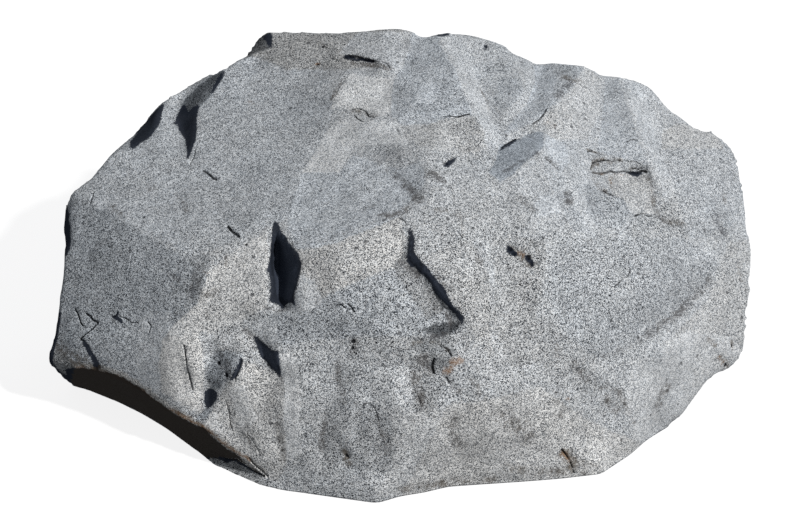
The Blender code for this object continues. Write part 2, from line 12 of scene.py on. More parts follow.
import bmesh
import bpy
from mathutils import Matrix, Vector
from mathutils.bvhtree import BVHTree
from mathutils.kdtree import KDTree


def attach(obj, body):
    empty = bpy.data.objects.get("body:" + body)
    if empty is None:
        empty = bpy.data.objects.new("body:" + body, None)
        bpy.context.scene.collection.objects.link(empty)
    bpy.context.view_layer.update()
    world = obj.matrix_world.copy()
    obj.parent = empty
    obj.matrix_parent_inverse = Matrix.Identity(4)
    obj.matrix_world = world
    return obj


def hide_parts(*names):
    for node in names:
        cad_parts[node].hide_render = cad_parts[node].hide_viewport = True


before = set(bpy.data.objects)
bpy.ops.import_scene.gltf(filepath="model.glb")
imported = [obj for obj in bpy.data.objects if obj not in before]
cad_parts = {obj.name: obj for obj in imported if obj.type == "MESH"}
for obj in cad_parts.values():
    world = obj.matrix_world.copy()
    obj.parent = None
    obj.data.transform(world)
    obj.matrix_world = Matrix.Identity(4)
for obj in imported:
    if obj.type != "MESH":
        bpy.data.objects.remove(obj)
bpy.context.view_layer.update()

# The setting-out board.
BOARD_LEAN = math.radians(30)
BOARD_HEIGHT = 0.290  # of its middle
EYE_DISTANCE = 8.0  # from the board's middle to the eye, and to the camera

# The stone's skin.
SKIN_CELL = 0.0077  # side of one face of the skin
SOFTEN_PASSES = 2
OUTWARD_PASSES = 2  # how far the directions in which the relief pushes are evened out
SWELL = 0.0035  # what the wearing down takes off, put back
MERGE_REACH = 1e-6
FOOT_SPARE = 0.03  # how far the skin first runs on below the ground
FOOT_SNAP = 0.001  # corners of the cut foot that are closer than this become one
FOOT_SLACK = 0.0006  # a corner this close to the ground is on the ground
FOOT_RELIEF = (0.003, 0.03)  # the relief grows from nothing to its full height between these heights
FOOT_FACING = -0.999  # only the foot faces straight down
FINE_REACHES = (0.010, 0.0055)  # the skin is cut finer this close to a crack or a pit, once for each
EDGE_REACHES = (0.007,)  # and this close to the edge of a plain facet
GROOVE_STEP = 0.0012  # grooves are carried onto the stone in steps of this length
STROKE_STEP = 0.004  # and strokes in steps of this length

# Weathering.
WAVE_HEIGHT = 0.001
WAVE_LENGTH = 0.22
FLAKE_SIZE = 0.085
FLAKE_TILT = 0.06
FLAKE_STRAY = 0.6  # how far a flake's edge wanders, in sizes of a flake
FLAKE_BLEND = 0.35
HACKLE_HEIGHT = 0.0035
HACKLE_SIZE = 0.035
HACKLE_PLACES = (-0.12, 0.15, 0.35)  # the noise at which it is weakest and strongest, and how weak it gets
HACKLE_TURN = (-0.05, -0.35, 0.25)  # the same for how a place is turned towards the eye
CRACK_WANDER = 0.0018
CRACK_SPREAD = (1.2, 2.0)  # how far a crack's walls and their painted shade reach, in half widths
STAIN_DEPTH = 0.003
BREAK_HEIGHT = 0.009
BREAK_SIZE = 0.020
PATCH_STEP = 0.01  # each patch lies this much above the one before
PATCH_WANDER = 0.005
ABOVE_PATCHES = 10.0
DEEP_REACH = 0.02  # how far from its outline a deep place is told apart
DEEP_WANDER = 0.006
# How a place is turned where it begins, and where it fully comes, to take its tones from the board, and to be
# painted dark as shade in a deep place. Squarely towards the eye is -1.
FRONT_TURN = (0.0, -0.12)
SEEN_TURN = (0.08, -0.02)
# The weather film: the stretches of the board, up or across, over which it comes in.
FILM_TOP = (0.02, 0.13)
FILM_LEFT = (-0.42, -0.50)
FILM_RIGHT = (0.45, 0.62)
FILM_MIDDLE = (0.05, 0.45)
FILM_MIDDLE_STRENGTH = 0.4
BACK_TONES = {"lightness": (0, 0.35), "warmth": (1, 0.8)}  # the part of a chance colour, and its strength
BACK_TONE_SCALE = 6.0
HOLLOW_PASSES = 6
HOLLOW_SCALE = 0.004
# Painted shade where the stone itself hides what is around a place:
SHELTER_REACH = 0.12
SHELTER_GAP = 0.004
SHELTER_PASSES = 2
SKY_ROWS = ((-0.55, 6), (0.0, 8), (0.55, 7), (1.15, 3))  # how steep, and how many looks around
SKY = [
    (math.cos(turn) * math.cos(rise), math.sin(turn) * math.cos(rise), math.sin(rise))
    for rise, count in SKY_ROWS
    for turn in (math.tau * step / count for step in range(count))
]
DOWN = (0.0, 0.0, -1.0)
STONE_SEED = 7.0

# Granite.
CRYSTAL = 0.0014  # across one crystal
GRAIN_RELIEF = 0.0005
ROUGHNESS = 0.9
GRAINS = [  # dark mica, grey quartz and pale feldspar: the start and the end of each, and its colours
    (0.00, (0.010, 0.011, 0.014)),
    (0.26, (0.022, 0.024, 0.030)),
    (0.30, (0.22, 0.23, 0.24)),
    (0.54, (0.33, 0.34, 0.35)),
    (0.58, (0.62, 0.62, 0.615)),
    (1.00, (0.92, 0.915, 0.90)),
]
CLUSTER = 0.24  # how strongly crystals of one mineral keep together
FILM_GREY = (0.335, 0.347, 0.360, 1.0)
FILM_STRENGTH = 0.21
FILM_ON_PALE = 0.5  # more film where a face is paler
FILM_ON_COOL = 0.35  # and where it is cooler
FILM_DRIFTS = 0.10  # how strongly it comes and goes
MOTTLE = 1.30  # in doublings of lightness, from its darkest to its lightest
SPECKLE = 0.62
WARMTH_MOTTLE = 0.5
CRYSTAL_WARMTH = 0.7
COOL_TINT = (0.905, 0.985, 1.085, 1.0)
WARM_TINT = (1.01, 0.995, 0.975, 1.0)
CLOT_SCALE = 30.0
CLOT_SIZE = 0.16
CLOT_WANDER = 0.12
# Coverings: the amounts at which each begins and is whole, and how strong it is there. The shelter, crack and
# deep coverings are painted shade, the stains are partly painted shade, and hollows are made darker.
COVERINGS = {
    "clot": (-0.01, 0.05, 0.70),
    "hollow": (0.1, 1.2, 0.40),
    "stain": (0.06, 0.60, 0.78),
    "rust": (0.1, 0.7, 0.60),
    "shelter": (1.2, 3.2, 0.45),
    "crack": (0.80, 1.15, 0.94),
    "deep": (-0.0028, -0.0004, 0.97),
}
RAGGED_FROM = (0.0, 0.2)  # stains and rust turn ragged between these strengths
DEEP_RAGGED = 0.007
CLOT_GREY = (0.05, 0.052, 0.058, 1.0)
# Colours of the stains, and of the painted shade among them:
COOL_STAIN_AND_SHADE = (0.055, 0.064, 0.082, 1.0)
BROWN_STAIN_AND_SHADE = (0.105, 0.082, 0.055, 1.0)
# Darker in hollows:
HOLLOW_DARKENING = (0.11, 0.11, 0.115, 1.0)
RUST_BROWN = (0.30, 0.165, 0.080, 1.0)
SHELTER_SHADE = (0.03, 0.032, 0.038, 1.0)
# Painted shade in cracks and pits:
CRACK_BLACK = (0.014, 0.015, 0.018, 1.0)
# Painted shade in deep places:
COOL_PAINTED_SHADE = (0.021, 0.026, 0.038, 1.0)
WARM_PAINTED_SHADE = (0.044, 0.037, 0.032, 1.0)  # painted shade in deep places that are warmer, such as the undercut

# Floor, light and camera.
FLOOR_GREY = (0.22, 0.22, 0.22, 1.0)
FLOOR_GLOW = 0.86
FLOOR_SIDES = 96
FLOOR_LEVEL = -0.0005
FLOOR_RINGS = ((11.0, FLOOR_LEVEL), (12.5, 0.25), (13.6, 1.1), (14.0, 2.4), (14.1, 6.0))  # radius, height
# Suns: where each shines from, its strength, its width in degrees and its colour.
SUNS = {
    "key_light": ((0.51, -0.55, 0.67), 3.05, 3.0, (1.0, 0.985, 0.96)),
    "back_light": ((0.72, 0.66, 0.22), 1.2, 25.0, (0.9, 0.95, 1.0)),
}
FILL_COLOUR = (0.94, 0.97, 1.0, 1.0)
FILL_STRENGTH = 0.25
CAMERA_SENSOR = 36.0
CAMERA_LENS = 168.48

# Cracks: half width, depth, then the line on the board.
CRACKS = {
    # left end
    "zigzag, left": (0.0026, 0.006, [
        (-0.693, -0.092), (-0.685, -0.107), (-0.681, -0.121), (-0.675, -0.129),
    ]),
    "zigzag, link": (0.0012, 0.003, [(-0.675, -0.129), (-0.662, -0.130), (-0.650, -0.124)]),
    "zigzag, upper": (0.0026, 0.006, [
        (-0.670, -0.102), (-0.660, -0.108), (-0.655, -0.116), (-0.644, -0.121),
    ]),
    "zigzag, middle": (0.0021, 0.005, [
        (-0.644, -0.121), (-0.655, -0.134), (-0.668, -0.144), (-0.683, -0.157),
    ]),
    "zigzag, lower": (0.0016, 0.005, [(-0.683, -0.157), (-0.674, -0.160)]),
    "left dash": (0.0016, 0.005, [(-0.602, -0.097), (-0.606, -0.107), (-0.615, -0.110)]),
    "left dash, tail": (0.0016, 0.004, [
        (-0.598, -0.107), (-0.585, -0.112), (-0.572, -0.121), (-0.557, -0.122),
    ]),
    "left tick": (0.0020, 0.004, [(-0.537, -0.120), (-0.530, -0.128), (-0.534, -0.142)]),
    "left tick, right": (0.0014, 0.003, [(-0.514, -0.126), (-0.500, -0.122), (-0.486, -0.114)]),
    "left shoulder nick": (0.0020, 0.006, [(-0.654, 0.155), (-0.657, 0.143), (-0.661, 0.131)]),
    "left shoulder hair": (0.0011, 0.003, [(-0.594, 0.243), (-0.592, 0.228), (-0.601, 0.213)]),
    "left face hair": (0.0011, 0.003, [(-0.572, 0.022), (-0.575, 0.000), (-0.580, -0.024)]),
    "notch hair": (0.0016, 0.005, [(-0.436, 0.250), (-0.440, 0.232), (-0.449, 0.214)]),
    "upper dash": (0.0031, 0.008, [(-0.419, 0.202), (-0.409, 0.195), (-0.401, 0.188), (-0.392, 0.183)]),
    "lower dash": (0.0031, 0.008, [(-0.367, 0.083), (-0.359, 0.073), (-0.350, 0.067), (-0.343, 0.061)]),
    "pillar slit": (0.0024, 0.008, [
        (-0.461, -0.170), (-0.456, -0.200), (-0.449, -0.233), (-0.443, -0.264),
    ]),
    "pillar slot edge": (0.0026, 0.007, [(-0.339, -0.202), (-0.344, -0.220), (-0.352, -0.240)]),
    "lip line, outer": (0.0030, 0.008, [
        (-0.372, -0.410), (-0.345, -0.412), (-0.325, -0.427), (-0.305, -0.441), (-0.290, -0.449),
    ]),
    "lip line, inner": (0.0024, 0.007, [(-0.322, -0.411), (-0.305, -0.429), (-0.282, -0.449)]),
    # middle
    "band nick": (0.0019, 0.005, [(-0.137, -0.084), (-0.125, -0.082), (-0.116, -0.090)]),
    "band nick, right": (0.0024, 0.008, [(-0.111, -0.082), (-0.104, -0.088), (-0.099, -0.097)]),
    "crevice hair": (0.0016, 0.005, [(0.000, 0.101), (0.008, 0.097), (0.014, 0.088)]),
    "flute line, right": (0.0012, 0.006, [
        (-0.071, -0.292), (-0.057, -0.299), (-0.050, -0.312), (-0.046, -0.330),
    ]),
    "flute line, left": (0.0010, 0.005, [
        (-0.372, -0.285), (-0.365, -0.310), (-0.361, -0.340), (-0.353, -0.362),
    ]),
    "flute line, middle": (0.0008, 0.004, [(-0.325, -0.355), (-0.312, -0.375), (-0.298, -0.402)]),
    "scoop curl": (0.0031, 0.009, [(0.073, -0.197), (0.068, -0.212), (0.072, -0.228)]),
    "scoop nick": (0.0026, 0.007, [(0.099, -0.238), (0.105, -0.250)]),
    "scoop rim": (0.0023, 0.006, [(0.086, -0.170), (0.101, -0.178), (0.110, -0.192)]),
    "scoop drip": (0.0017, 0.005, [(0.038, -0.278), (0.044, -0.288), (0.045, -0.300)]),
    # top
    "saddle crack": (0.0042, 0.011, [
        (-0.120, 0.444), (-0.108, 0.448), (-0.092, 0.446), (-0.075, 0.441), (-0.055, 0.437),
    ]),
    "saddle crack, tail": (0.0019, 0.005, [
        (-0.055, 0.437), (-0.040, 0.435), (-0.028, 0.431), (-0.022, 0.423),
    ]),
    "saddle crack, head": (0.0014, 0.004, [(-0.148, 0.441), (-0.132, 0.441), (-0.120, 0.444)]),
    "warm facet edge": (0.0010, 0.004, [
        (-0.106, 0.413), (-0.117, 0.399), (-0.132, 0.375), (-0.141, 0.353),
    ]),
    "warm facet marks": (0.0019, 0.005, [
        (-0.102, 0.333), (-0.088, 0.335), (-0.073, 0.329), (-0.066, 0.318), (-0.052, 0.317),
    ]),
    "warm facet marks, lower": (0.0016, 0.004, [(-0.097, 0.320), (-0.089, 0.312), (-0.078, 0.306)]),
    "facet nick": (0.0016, 0.004, [(-0.007, 0.292), (-0.003, 0.284), (0.001, 0.276)]),
    "face nick": (0.0016, 0.004, [(-0.076, 0.171), (-0.070, 0.163), (-0.064, 0.154)]),
    "sill crack": (0.0026, 0.007, [
        (0.092, 0.316), (0.105, 0.319), (0.120, 0.317), (0.135, 0.320), (0.147, 0.323),
    ]),
    "sill crack, left": (0.0012, 0.003, [(0.030, 0.304), (0.055, 0.309), (0.075, 0.312), (0.092, 0.316)]),
    "slate crack": (0.0026, 0.008, [(0.216, 0.251), (0.228, 0.259), (0.246, 0.269)]),
    "blade foot": (0.0020, 0.006, [(0.284, 0.303), (0.296, 0.311), (0.306, 0.322), (0.314, 0.336)]),
    "stripe nick": (0.0019, 0.005, [(0.311, 0.229), (0.320, 0.221)]),
    "stripe nick, lower": (0.0017, 0.005, [(0.331, 0.211), (0.338, 0.204)]),
    "blade nick": (0.0016, 0.004, [(0.351, 0.283), (0.357, 0.277), (0.368, 0.276)]),
    # upper right
    "ledge, top stroke": (0.0022, 0.006, [(0.399, 0.243), (0.411, 0.246), (0.419, 0.240), (0.429, 0.237)]),
    "ledge, line": (0.0018, 0.008, [
        (0.408, 0.199), (0.423, 0.196), (0.436, 0.198), (0.448, 0.202), (0.460, 0.199), (0.475, 0.202),
        (0.490, 0.199),
    ]),
    "ledge, deep end": (0.0024, 0.010, [(0.488, 0.200), (0.503, 0.197), (0.516, 0.203), (0.527, 0.201)]),
    "ledge, deep end, above": (0.0014, 0.005, [(0.496, 0.208), (0.510, 0.206), (0.521, 0.210)]),
    "tread tick": (0.0018, 0.004, [(0.484, 0.264), (0.493, 0.269), (0.505, 0.268)]),
    "ledge, arch": (0.0019, 0.005, [
        (0.405, 0.207), (0.410, 0.219), (0.422, 0.224), (0.440, 0.226), (0.455, 0.224), (0.470, 0.225),
    ]),
    "ledge, arch, right": (0.0011, 0.004, [(0.476, 0.226), (0.488, 0.223), (0.502, 0.224), (0.516, 0.216)]),
    "below the ledge": (0.0026, 0.006, [(0.434, 0.158), (0.445, 0.153), (0.455, 0.149)]),
    "below the ledge, tail": (0.0015, 0.005, [(0.455, 0.149), (0.465, 0.144), (0.477, 0.139)]),
    "step crack": (0.0022, 0.006, [
        (0.499, 0.105), (0.510, 0.110), (0.519, 0.111), (0.527, 0.106), (0.537, 0.106),
    ]),
    "step crack, left": (0.0012, 0.004, [(0.484, 0.107), (0.499, 0.105)]),
    "step crack, right": (0.0012, 0.004, [(0.544, 0.103), (0.556, 0.099), (0.571, 0.090), (0.590, 0.084)]),
    # right
    "right hair": (0.0016, 0.005, [(0.491, -0.010), (0.486, -0.022), (0.474, -0.029), (0.456, -0.046)]),
    "right nick": (0.0018, 0.006, [(0.446, -0.098), (0.451, -0.114), (0.453, -0.138)]),
    "foot crack": (0.0021, 0.009, [
        (0.345, -0.391), (0.354, -0.403), (0.362, -0.415), (0.367, -0.427), (0.372, -0.441),
    ]),
    "foot crack, branch": (0.0014, 0.006, [(0.368, -0.387), (0.366, -0.400), (0.362, -0.415)]),
    "foot crack, tail": (0.0007, 0.004, [(0.372, -0.409), (0.386, -0.416), (0.400, -0.410)]),
}
# Pits: half width, depth, place on the board.
PITS = {
    "twin pit, left": (0.0062, 0.013, (0.235, 0.036)),
    "twin pit, left foot": (0.0052, 0.010, (0.243, 0.025)),
    "twin pit, right": (0.0064, 0.013, (0.274, 0.018)),
    "twin pit, right foot": (0.0058, 0.010, (0.281, 0.005)),
    "brow pit": (0.0045, 0.010, (0.098, 0.218)),
    "brow pit, right": (0.0035, 0.009, (0.106, 0.224)),
    "brow pit, small": (0.0025, 0.006, (0.118, 0.230)),
    "crown pit": (0.0055, 0.009, (0.183, 0.467)),
    "rim pit": (0.0075, 0.008, (0.094, 0.494)),
    "rusty pit": (0.0040, 0.007, (-0.175, 0.429)),
    "rusty pit, left": (0.0028, 0.005, (-0.199, 0.435)),
    "left pit": (0.0030, 0.005, (-0.328, 0.045)),
    "saddle pit": (0.0045, 0.006, (-0.163, 0.466)),
    "front pit": (0.0048, 0.007, (-0.099, -0.161)),
    "front pit, lower": (0.0042, 0.006, (-0.101, -0.175)),
    "flute pit": (0.0045, 0.006, (-0.112, -0.405)),
    "slot pit": (0.0050, 0.007, (-0.386, -0.207)),
    "slot pit, right": (0.0055, 0.007, (-0.369, -0.233)),
    "right foot pit": (0.0045, 0.006, (0.694, -0.211)),
    "right pit": (0.0035, 0.005, (0.707, -0.170)),
}
# Where a stroke's strength, and the warmth of stains and painted shade, stand in their rows.
STRENGTH = 1
WARMTH = 2
# Stains and painted shade: half width, darkness, warmth (brown above 0, blue-grey below), and the line on the
# board. Many are painted shade: those named shade, and the dark strokes beside notches, crevices, pits and
# the undercut; the rest are stains.
STAINS_AND_SHADE = {
    "under the shoulder": (0.020, 0.50, -0.3, [(-0.428, -0.005), (-0.435, -0.040), (-0.447, -0.068)]),
    "under the shoulder, left": (0.010, 0.40, -0.3, [(-0.478, -0.025), (-0.460, -0.035)]),
    "shoulder smear": (0.012, 0.35, 0.1, [(-0.425, -0.060), (-0.400, -0.060), (-0.388, -0.050)]),
    "pillar smear": (0.006, 0.30, 0.1, [(-0.415, -0.095), (-0.410, -0.115)]),
    "shoulder wisp": (0.008, 0.25, 0.2, [(-0.371, 0.022), (-0.371, -0.002)]),
    "left face smear": (0.016, 0.22, 0.2, [(-0.535, 0.165), (-0.520, 0.158)]),
    "face smear": (0.014, 0.30, 0.0, [(-0.478, 0.150), (-0.462, 0.140), (-0.457, 0.118)]),
    "face smear, upper": (0.012, 0.25, 0.1, [(-0.405, 0.212), (-0.392, 0.214)]),
    "left edge spot": (0.009, 0.55, 0.0, [(-0.612, 0.128), (-0.610, 0.118), (-0.594, 0.110)]),
    "left tip smear": (0.025, 0.35, 0.2, [(-0.735, -0.165), (-0.700, -0.190), (-0.660, -0.205)]),
    "left crack smear": (0.012, 0.45, -0.2, [(-0.680, -0.155), (-0.665, -0.175), (-0.650, -0.200)]),
    "slot, pocket": (0.020, 0.42, -0.3, [(-0.385, -0.195), (-0.368, -0.215), (-0.365, -0.240)]),
    "flute 1": (0.008, 0.30, 0.0, [(-0.367, -0.290), (-0.360, -0.340)]),
    "flute 2": (0.012, 0.40, 0.0, [(-0.262, -0.335), (-0.254, -0.370), (-0.248, -0.412)]),
    "flute 3": (0.016, 0.35, 0.0, [(-0.128, -0.200), (-0.134, -0.240), (-0.120, -0.285)]),
    "flute 4": (0.013, 0.40, 0.0, [(-0.158, -0.320), (-0.163, -0.355), (-0.166, -0.390)]),
    "flute 5": (0.018, 0.35, 0.0, [(-0.048, -0.325), (-0.037, -0.360), (-0.030, -0.395)]),
    "flute 6": (0.010, 0.30, 0.2, [(-0.330, -0.362), (-0.310, -0.385)]),
    "brown spot": (0.013, 0.55, 0.7, [(-0.118, -0.395), (-0.108, -0.418)]),
    "front spot": (0.013, 0.45, 0.0, [(-0.100, -0.155), (-0.098, -0.180)]),
    "ledge spots": (0.012, 0.30, 0.0, [(-0.025, -0.170), (0.000, -0.155), (-0.010, -0.190)]),
    "notch foot": (0.010, 0.30, -0.1, [(-0.290, -0.090), (-0.260, -0.098), (-0.225, -0.095)]),
    "crevice foot, lower": (0.009, 0.50, -0.3, [(0.070, -0.152), (0.095, -0.148)]),
    "crevice, left shade": (0.014, 0.60, -0.2, [(0.004, 0.005), (0.020, -0.003), (0.035, -0.018)]),
    "crevice, end shade": (0.010, 0.55, -0.2, [(0.096, -0.100), (0.106, -0.113), (0.110, -0.123)]),
    "above the undercut": (0.014, 0.60, 0.0, [(-0.700, -0.205), (-0.665, -0.211), (-0.630, -0.222)]),
    "crevice, right shade": (0.008, 0.45, -0.2, [(0.060, 0.000), (0.082, -0.025), (0.100, -0.060)]),
    "below the crevice": (0.018, 0.30, -0.1, [(0.060, -0.060), (0.085, -0.095)]),
    "small notch, head": (0.007, 0.50, -0.2, [(-0.332, -0.137), (-0.318, -0.146), (-0.306, -0.158)]),
    "brow point": (0.012, 0.72, -0.2, [(0.066, 0.197), (0.078, 0.187), (0.090, 0.179)]),
    "top left notch": (0.009, 0.45, -0.2, [(-0.288, 0.463), (-0.305, 0.458), (-0.322, 0.450)]),
    "scoop rim shade": (0.007, 0.40, 0.4, [
        (0.030, -0.166), (0.055, -0.160), (0.080, -0.167), (0.103, -0.180),
    ]),
    "scoop": (0.022, 0.40, -0.1, [(0.050, -0.200), (0.060, -0.220)]),
    "scoop, lower": (0.018, 0.35, 0.0, [(0.030, -0.235), (0.042, -0.270), (0.046, -0.300)]),
    "scoop, right": (0.012, 0.35, 0.0, [(0.105, -0.240), (0.125, -0.265)]),
    "by the scoop": (0.009, 0.40, -0.1, [(0.132, -0.185), (0.142, -0.172)]),
    "by the scoop, lower": (0.010, 0.35, 0.2, [(0.153, -0.240), (0.172, -0.270)]),
    "foot smear": (0.030, 0.25, 0.0, [(0.115, -0.320), (0.110, -0.350), (0.130, -0.380)]),
    "foot smear, right": (0.035, 0.25, 0.1, [(0.220, -0.325), (0.255, -0.345), (0.275, -0.365)]),
    "foot smear, edge": (0.010, 0.30, 0.2, [(0.200, -0.312), (0.235, -0.306)]),
    "foot rim": (0.022, 0.30, 0.6, [(0.000, -0.475), (0.045, -0.470), (0.120, -0.460), (0.200, -0.455)]),
    "foot rim, right": (0.022, 0.25, 0.4, [(0.220, -0.430), (0.300, -0.440), (0.400, -0.435)]),
    "foot crack": (0.018, 0.55, 0.8, [(0.350, -0.398), (0.363, -0.412), (0.368, -0.432)]),
    "foot crack, right": (0.010, 0.35, 0.4, [(0.385, -0.418), (0.415, -0.430)]),
    "blotch rim": (0.010, 0.40, 0.1, [
        (0.425, -0.262), (0.440, -0.257), (0.465, -0.267), (0.477, -0.288), (0.485, -0.310),
        (0.497, -0.335),
    ]),
    "blotch": (0.030, 0.28, 0.1, [(0.445, -0.285), (0.455, -0.305)]),
    "blotch, left": (0.012, 0.30, 0.0, [(0.330, -0.265), (0.345, -0.300), (0.340, -0.320)]),
    "right spots": (0.020, 0.40, 0.0, [(0.372, -0.210), (0.385, -0.225), (0.396, -0.243)]),
    "right spots, warm": (0.009, 0.30, 0.5, [(0.333, -0.165), (0.335, -0.190)]),
    "right spots, far": (0.022, 0.30, 0.1, [(0.570, -0.255), (0.553, -0.280), (0.548, -0.305)]),
    "long shade": (0.017, 0.35, -0.2, [
        (0.662, -0.028), (0.640, -0.055), (0.612, -0.083), (0.585, -0.110), (0.555, -0.130),
        (0.510, -0.160),
    ]),
    "long shade, below": (0.020, 0.22, -0.2, [(0.500, -0.165), (0.460, -0.185), (0.420, -0.200)]),
    "right end, brown": (0.013, 0.50, 0.8, [(0.683, -0.195), (0.697, -0.212)]),
    "right end, brown above": (0.009, 0.35, 0.7, [(0.655, -0.157), (0.672, -0.168)]),
    "right end, spot": (0.008, 0.40, 0.6, [(0.706, -0.160), (0.710, -0.177)]),
    "right end, edge": (0.012, 0.25, 0.4, [(0.722, 0.000), (0.728, -0.030)]),
    "cool smudge": (0.016, 0.45, -0.5, [(0.672, 0.110), (0.678, 0.085), (0.692, 0.070)]),
    "cool smudge, left": (0.020, 0.22, -0.4, [(0.640, 0.090), (0.655, 0.070)]),
    "warm smudge": (0.010, 0.25, 0.6, [(0.690, 0.155), (0.692, 0.135)]),
    "step, smudge": (0.013, 0.40, 0.1, [(0.565, 0.095), (0.585, 0.090), (0.602, 0.088)]),
    "step, valley": (0.010, 0.30, 0.2, [(0.533, 0.185), (0.540, 0.160), (0.540, 0.130), (0.550, 0.108)]),
    "ledge, arch": (0.007, 0.45, 0.4, [
        (0.406, 0.205), (0.412, 0.221), (0.430, 0.227), (0.450, 0.223), (0.470, 0.226),
    ]),
    "ledge, left end": (0.012, 0.35, 0.3, [(0.408, 0.212), (0.422, 0.218)]),
    "ledge, right end": (0.010, 0.35, 0.3, [(0.490, 0.209), (0.510, 0.208), (0.525, 0.204)]),
    "ledge, brown": (0.006, 0.40, 0.9, [(0.408, 0.199), (0.425, 0.195), (0.440, 0.197), (0.455, 0.199)]),
    "ledge, left brown": (0.008, 0.35, 0.9, [(0.448, 0.195), (0.449, 0.165)]),
    "ledge, foot": (0.014, 0.35, 0.2, [(0.412, 0.185), (0.425, 0.165), (0.440, 0.155)]),
    "ledge, stroke": (0.007, 0.45, 0.5, [(0.400, 0.246), (0.420, 0.240)]),
    "stripe patch": (0.014, 0.60, -0.2, [(0.357, 0.150), (0.357, 0.136)]),
    "stripe mark": (0.009, 0.40, 0.0, [(0.312, 0.228), (0.338, 0.205)]),
    "twin pit shade": (0.019, 0.60, 0.4, [(0.240, 0.032), (0.260, 0.022), (0.282, 0.005)]),
    "twin pit shade, above": (0.016, 0.35, -0.1, [(0.255, 0.145), (0.270, 0.130), (0.285, 0.118)]),
    "soft patch": (0.016, 0.30, 0.1, [(0.165, 0.020), (0.167, 0.008)]),
    "crown marks": (0.012, 0.30, 0.2, [(0.075, 0.118), (0.105, 0.115), (0.135, 0.103)]),
    "crown marks, right": (0.009, 0.30, 0.1, [(0.133, 0.090), (0.134, 0.065)]),
    "dark corner": (0.016, 0.62, -0.2, [(0.012, 0.172), (0.028, 0.158), (0.040, 0.140)]),
    "dark corner, upper": (0.018, 0.38, -0.2, [(-0.025, 0.200), (0.000, 0.182)]),
    "brow end": (0.016, 0.50, 0.0, [(-0.040, 0.103), (-0.015, 0.105), (0.010, 0.120)]),
    "brow shade": (0.010, 0.22, 0.2, [(-0.120, 0.065), (-0.080, 0.080), (-0.050, 0.095)]),
    "brow marks": (0.012, 0.25, 0.1, [(-0.075, 0.120), (-0.055, 0.125)]),
    "warm facet shade": (0.010, 0.30, 0.1, [(-0.112, 0.405), (-0.135, 0.375), (-0.145, 0.355)]),
    "warm facet smear": (0.012, 0.35, 0.3, [(-0.095, 0.330), (-0.075, 0.325), (-0.055, 0.317)]),
    "saddle shade": (0.012, 0.35, 0.2, [(-0.100, 0.432), (-0.060, 0.428), (-0.025, 0.420)]),
    "saddle smear": (0.010, 0.30, 0.1, [(-0.172, 0.474), (-0.150, 0.460)]),
    "blade top": (0.014, 0.50, 0.3, [(0.352, 0.403), (0.368, 0.393), (0.378, 0.398)]),
    "blade valley": (0.012, 0.45, -0.3, [(0.372, 0.402), (0.355, 0.382), (0.335, 0.360)]),
    "blade valley, left": (0.010, 0.14, -0.2, [(0.310, 0.415), (0.300, 0.385), (0.290, 0.350)]),
    "shield, left edge": (0.007, 0.30, 0.3, [(0.170, 0.375), (0.185, 0.350), (0.190, 0.325)]),
    "slate, top": (0.008, 0.40, -0.3, [(0.250, 0.268), (0.275, 0.275), (0.297, 0.268)]),
    "slate, foot": (0.010, 0.42, -0.4, [(0.225, 0.200), (0.250, 0.215), (0.290, 0.240)]),
    "rim pit shade": (0.010, 0.40, 0.0, [(0.085, 0.497), (0.103, 0.497)]),
    "crown pit shade": (0.011, 0.35, 0.0, [(0.180, 0.466), (0.188, 0.468)]),
    "brow pit shade": (0.008, 0.35, 0.0, [(0.095, 0.217), (0.110, 0.225)]),
    "rust, upper left": (0.012, 0.25, 1.0, [(-0.318, 0.347), (-0.312, 0.347)]),
    "rust, top": (0.007, 0.45, 1.0, [(-0.176, 0.430), (-0.173, 0.430)]),
    "undercut rim": (0.010, 0.32, 0.9, [
        (-0.690, -0.212), (-0.650, -0.218), (-0.600, -0.235), (-0.550, -0.263), (-0.500, -0.298),
        (-0.450, -0.326), (-0.410, -0.346), (-0.360, -0.387), (-0.320, -0.410), (-0.285, -0.443),
    ]),
}
# Rust: half width, strength, and the line on the board.
RUST = {
    "scoop": (0.013, 0.75, [(0.113, -0.205), (0.128, -0.202)]),
    "scoop, left": (0.012, 0.60, [(0.093, -0.225), (0.107, -0.222)]),
    "upper left": (0.011, 0.45, [(-0.319, 0.349), (-0.313, 0.347)]),
    "rusty pit": (0.006, 0.90, [(-0.176, 0.430), (-0.173, 0.430)]),
    "twin pit": (0.009, 0.65, [(0.250, 0.028), (0.262, 0.022)]),
    "ledge": (0.007, 0.45, [(0.448, 0.192), (0.450, 0.170)]),
    "ledge line": (0.005, 0.40, [(0.430, 0.196), (0.490, 0.195)]),
    "right end": (0.012, 0.45, [(0.678, -0.195), (0.690, -0.205)]),
    "foot crack": (0.010, 0.55, [(0.349, -0.400), (0.360, -0.415)]),
    "foot spot": (0.006, 0.50, [(0.356, -0.283), (0.360, -0.285)]),
    "shoulder": (0.006, 0.40, [(-0.422, -0.010), (-0.410, -0.016)]),
    "lip": (0.009, 0.85, [
        (-0.690, -0.214), (-0.650, -0.220), (-0.600, -0.237), (-0.550, -0.265), (-0.500, -0.300),
        (-0.450, -0.328), (-0.410, -0.348), (-0.360, -0.389), (-0.320, -0.412),
    ]),
    "slate": (0.008, 0.30, [(0.315, 0.305), (0.330, 0.295)]),
}
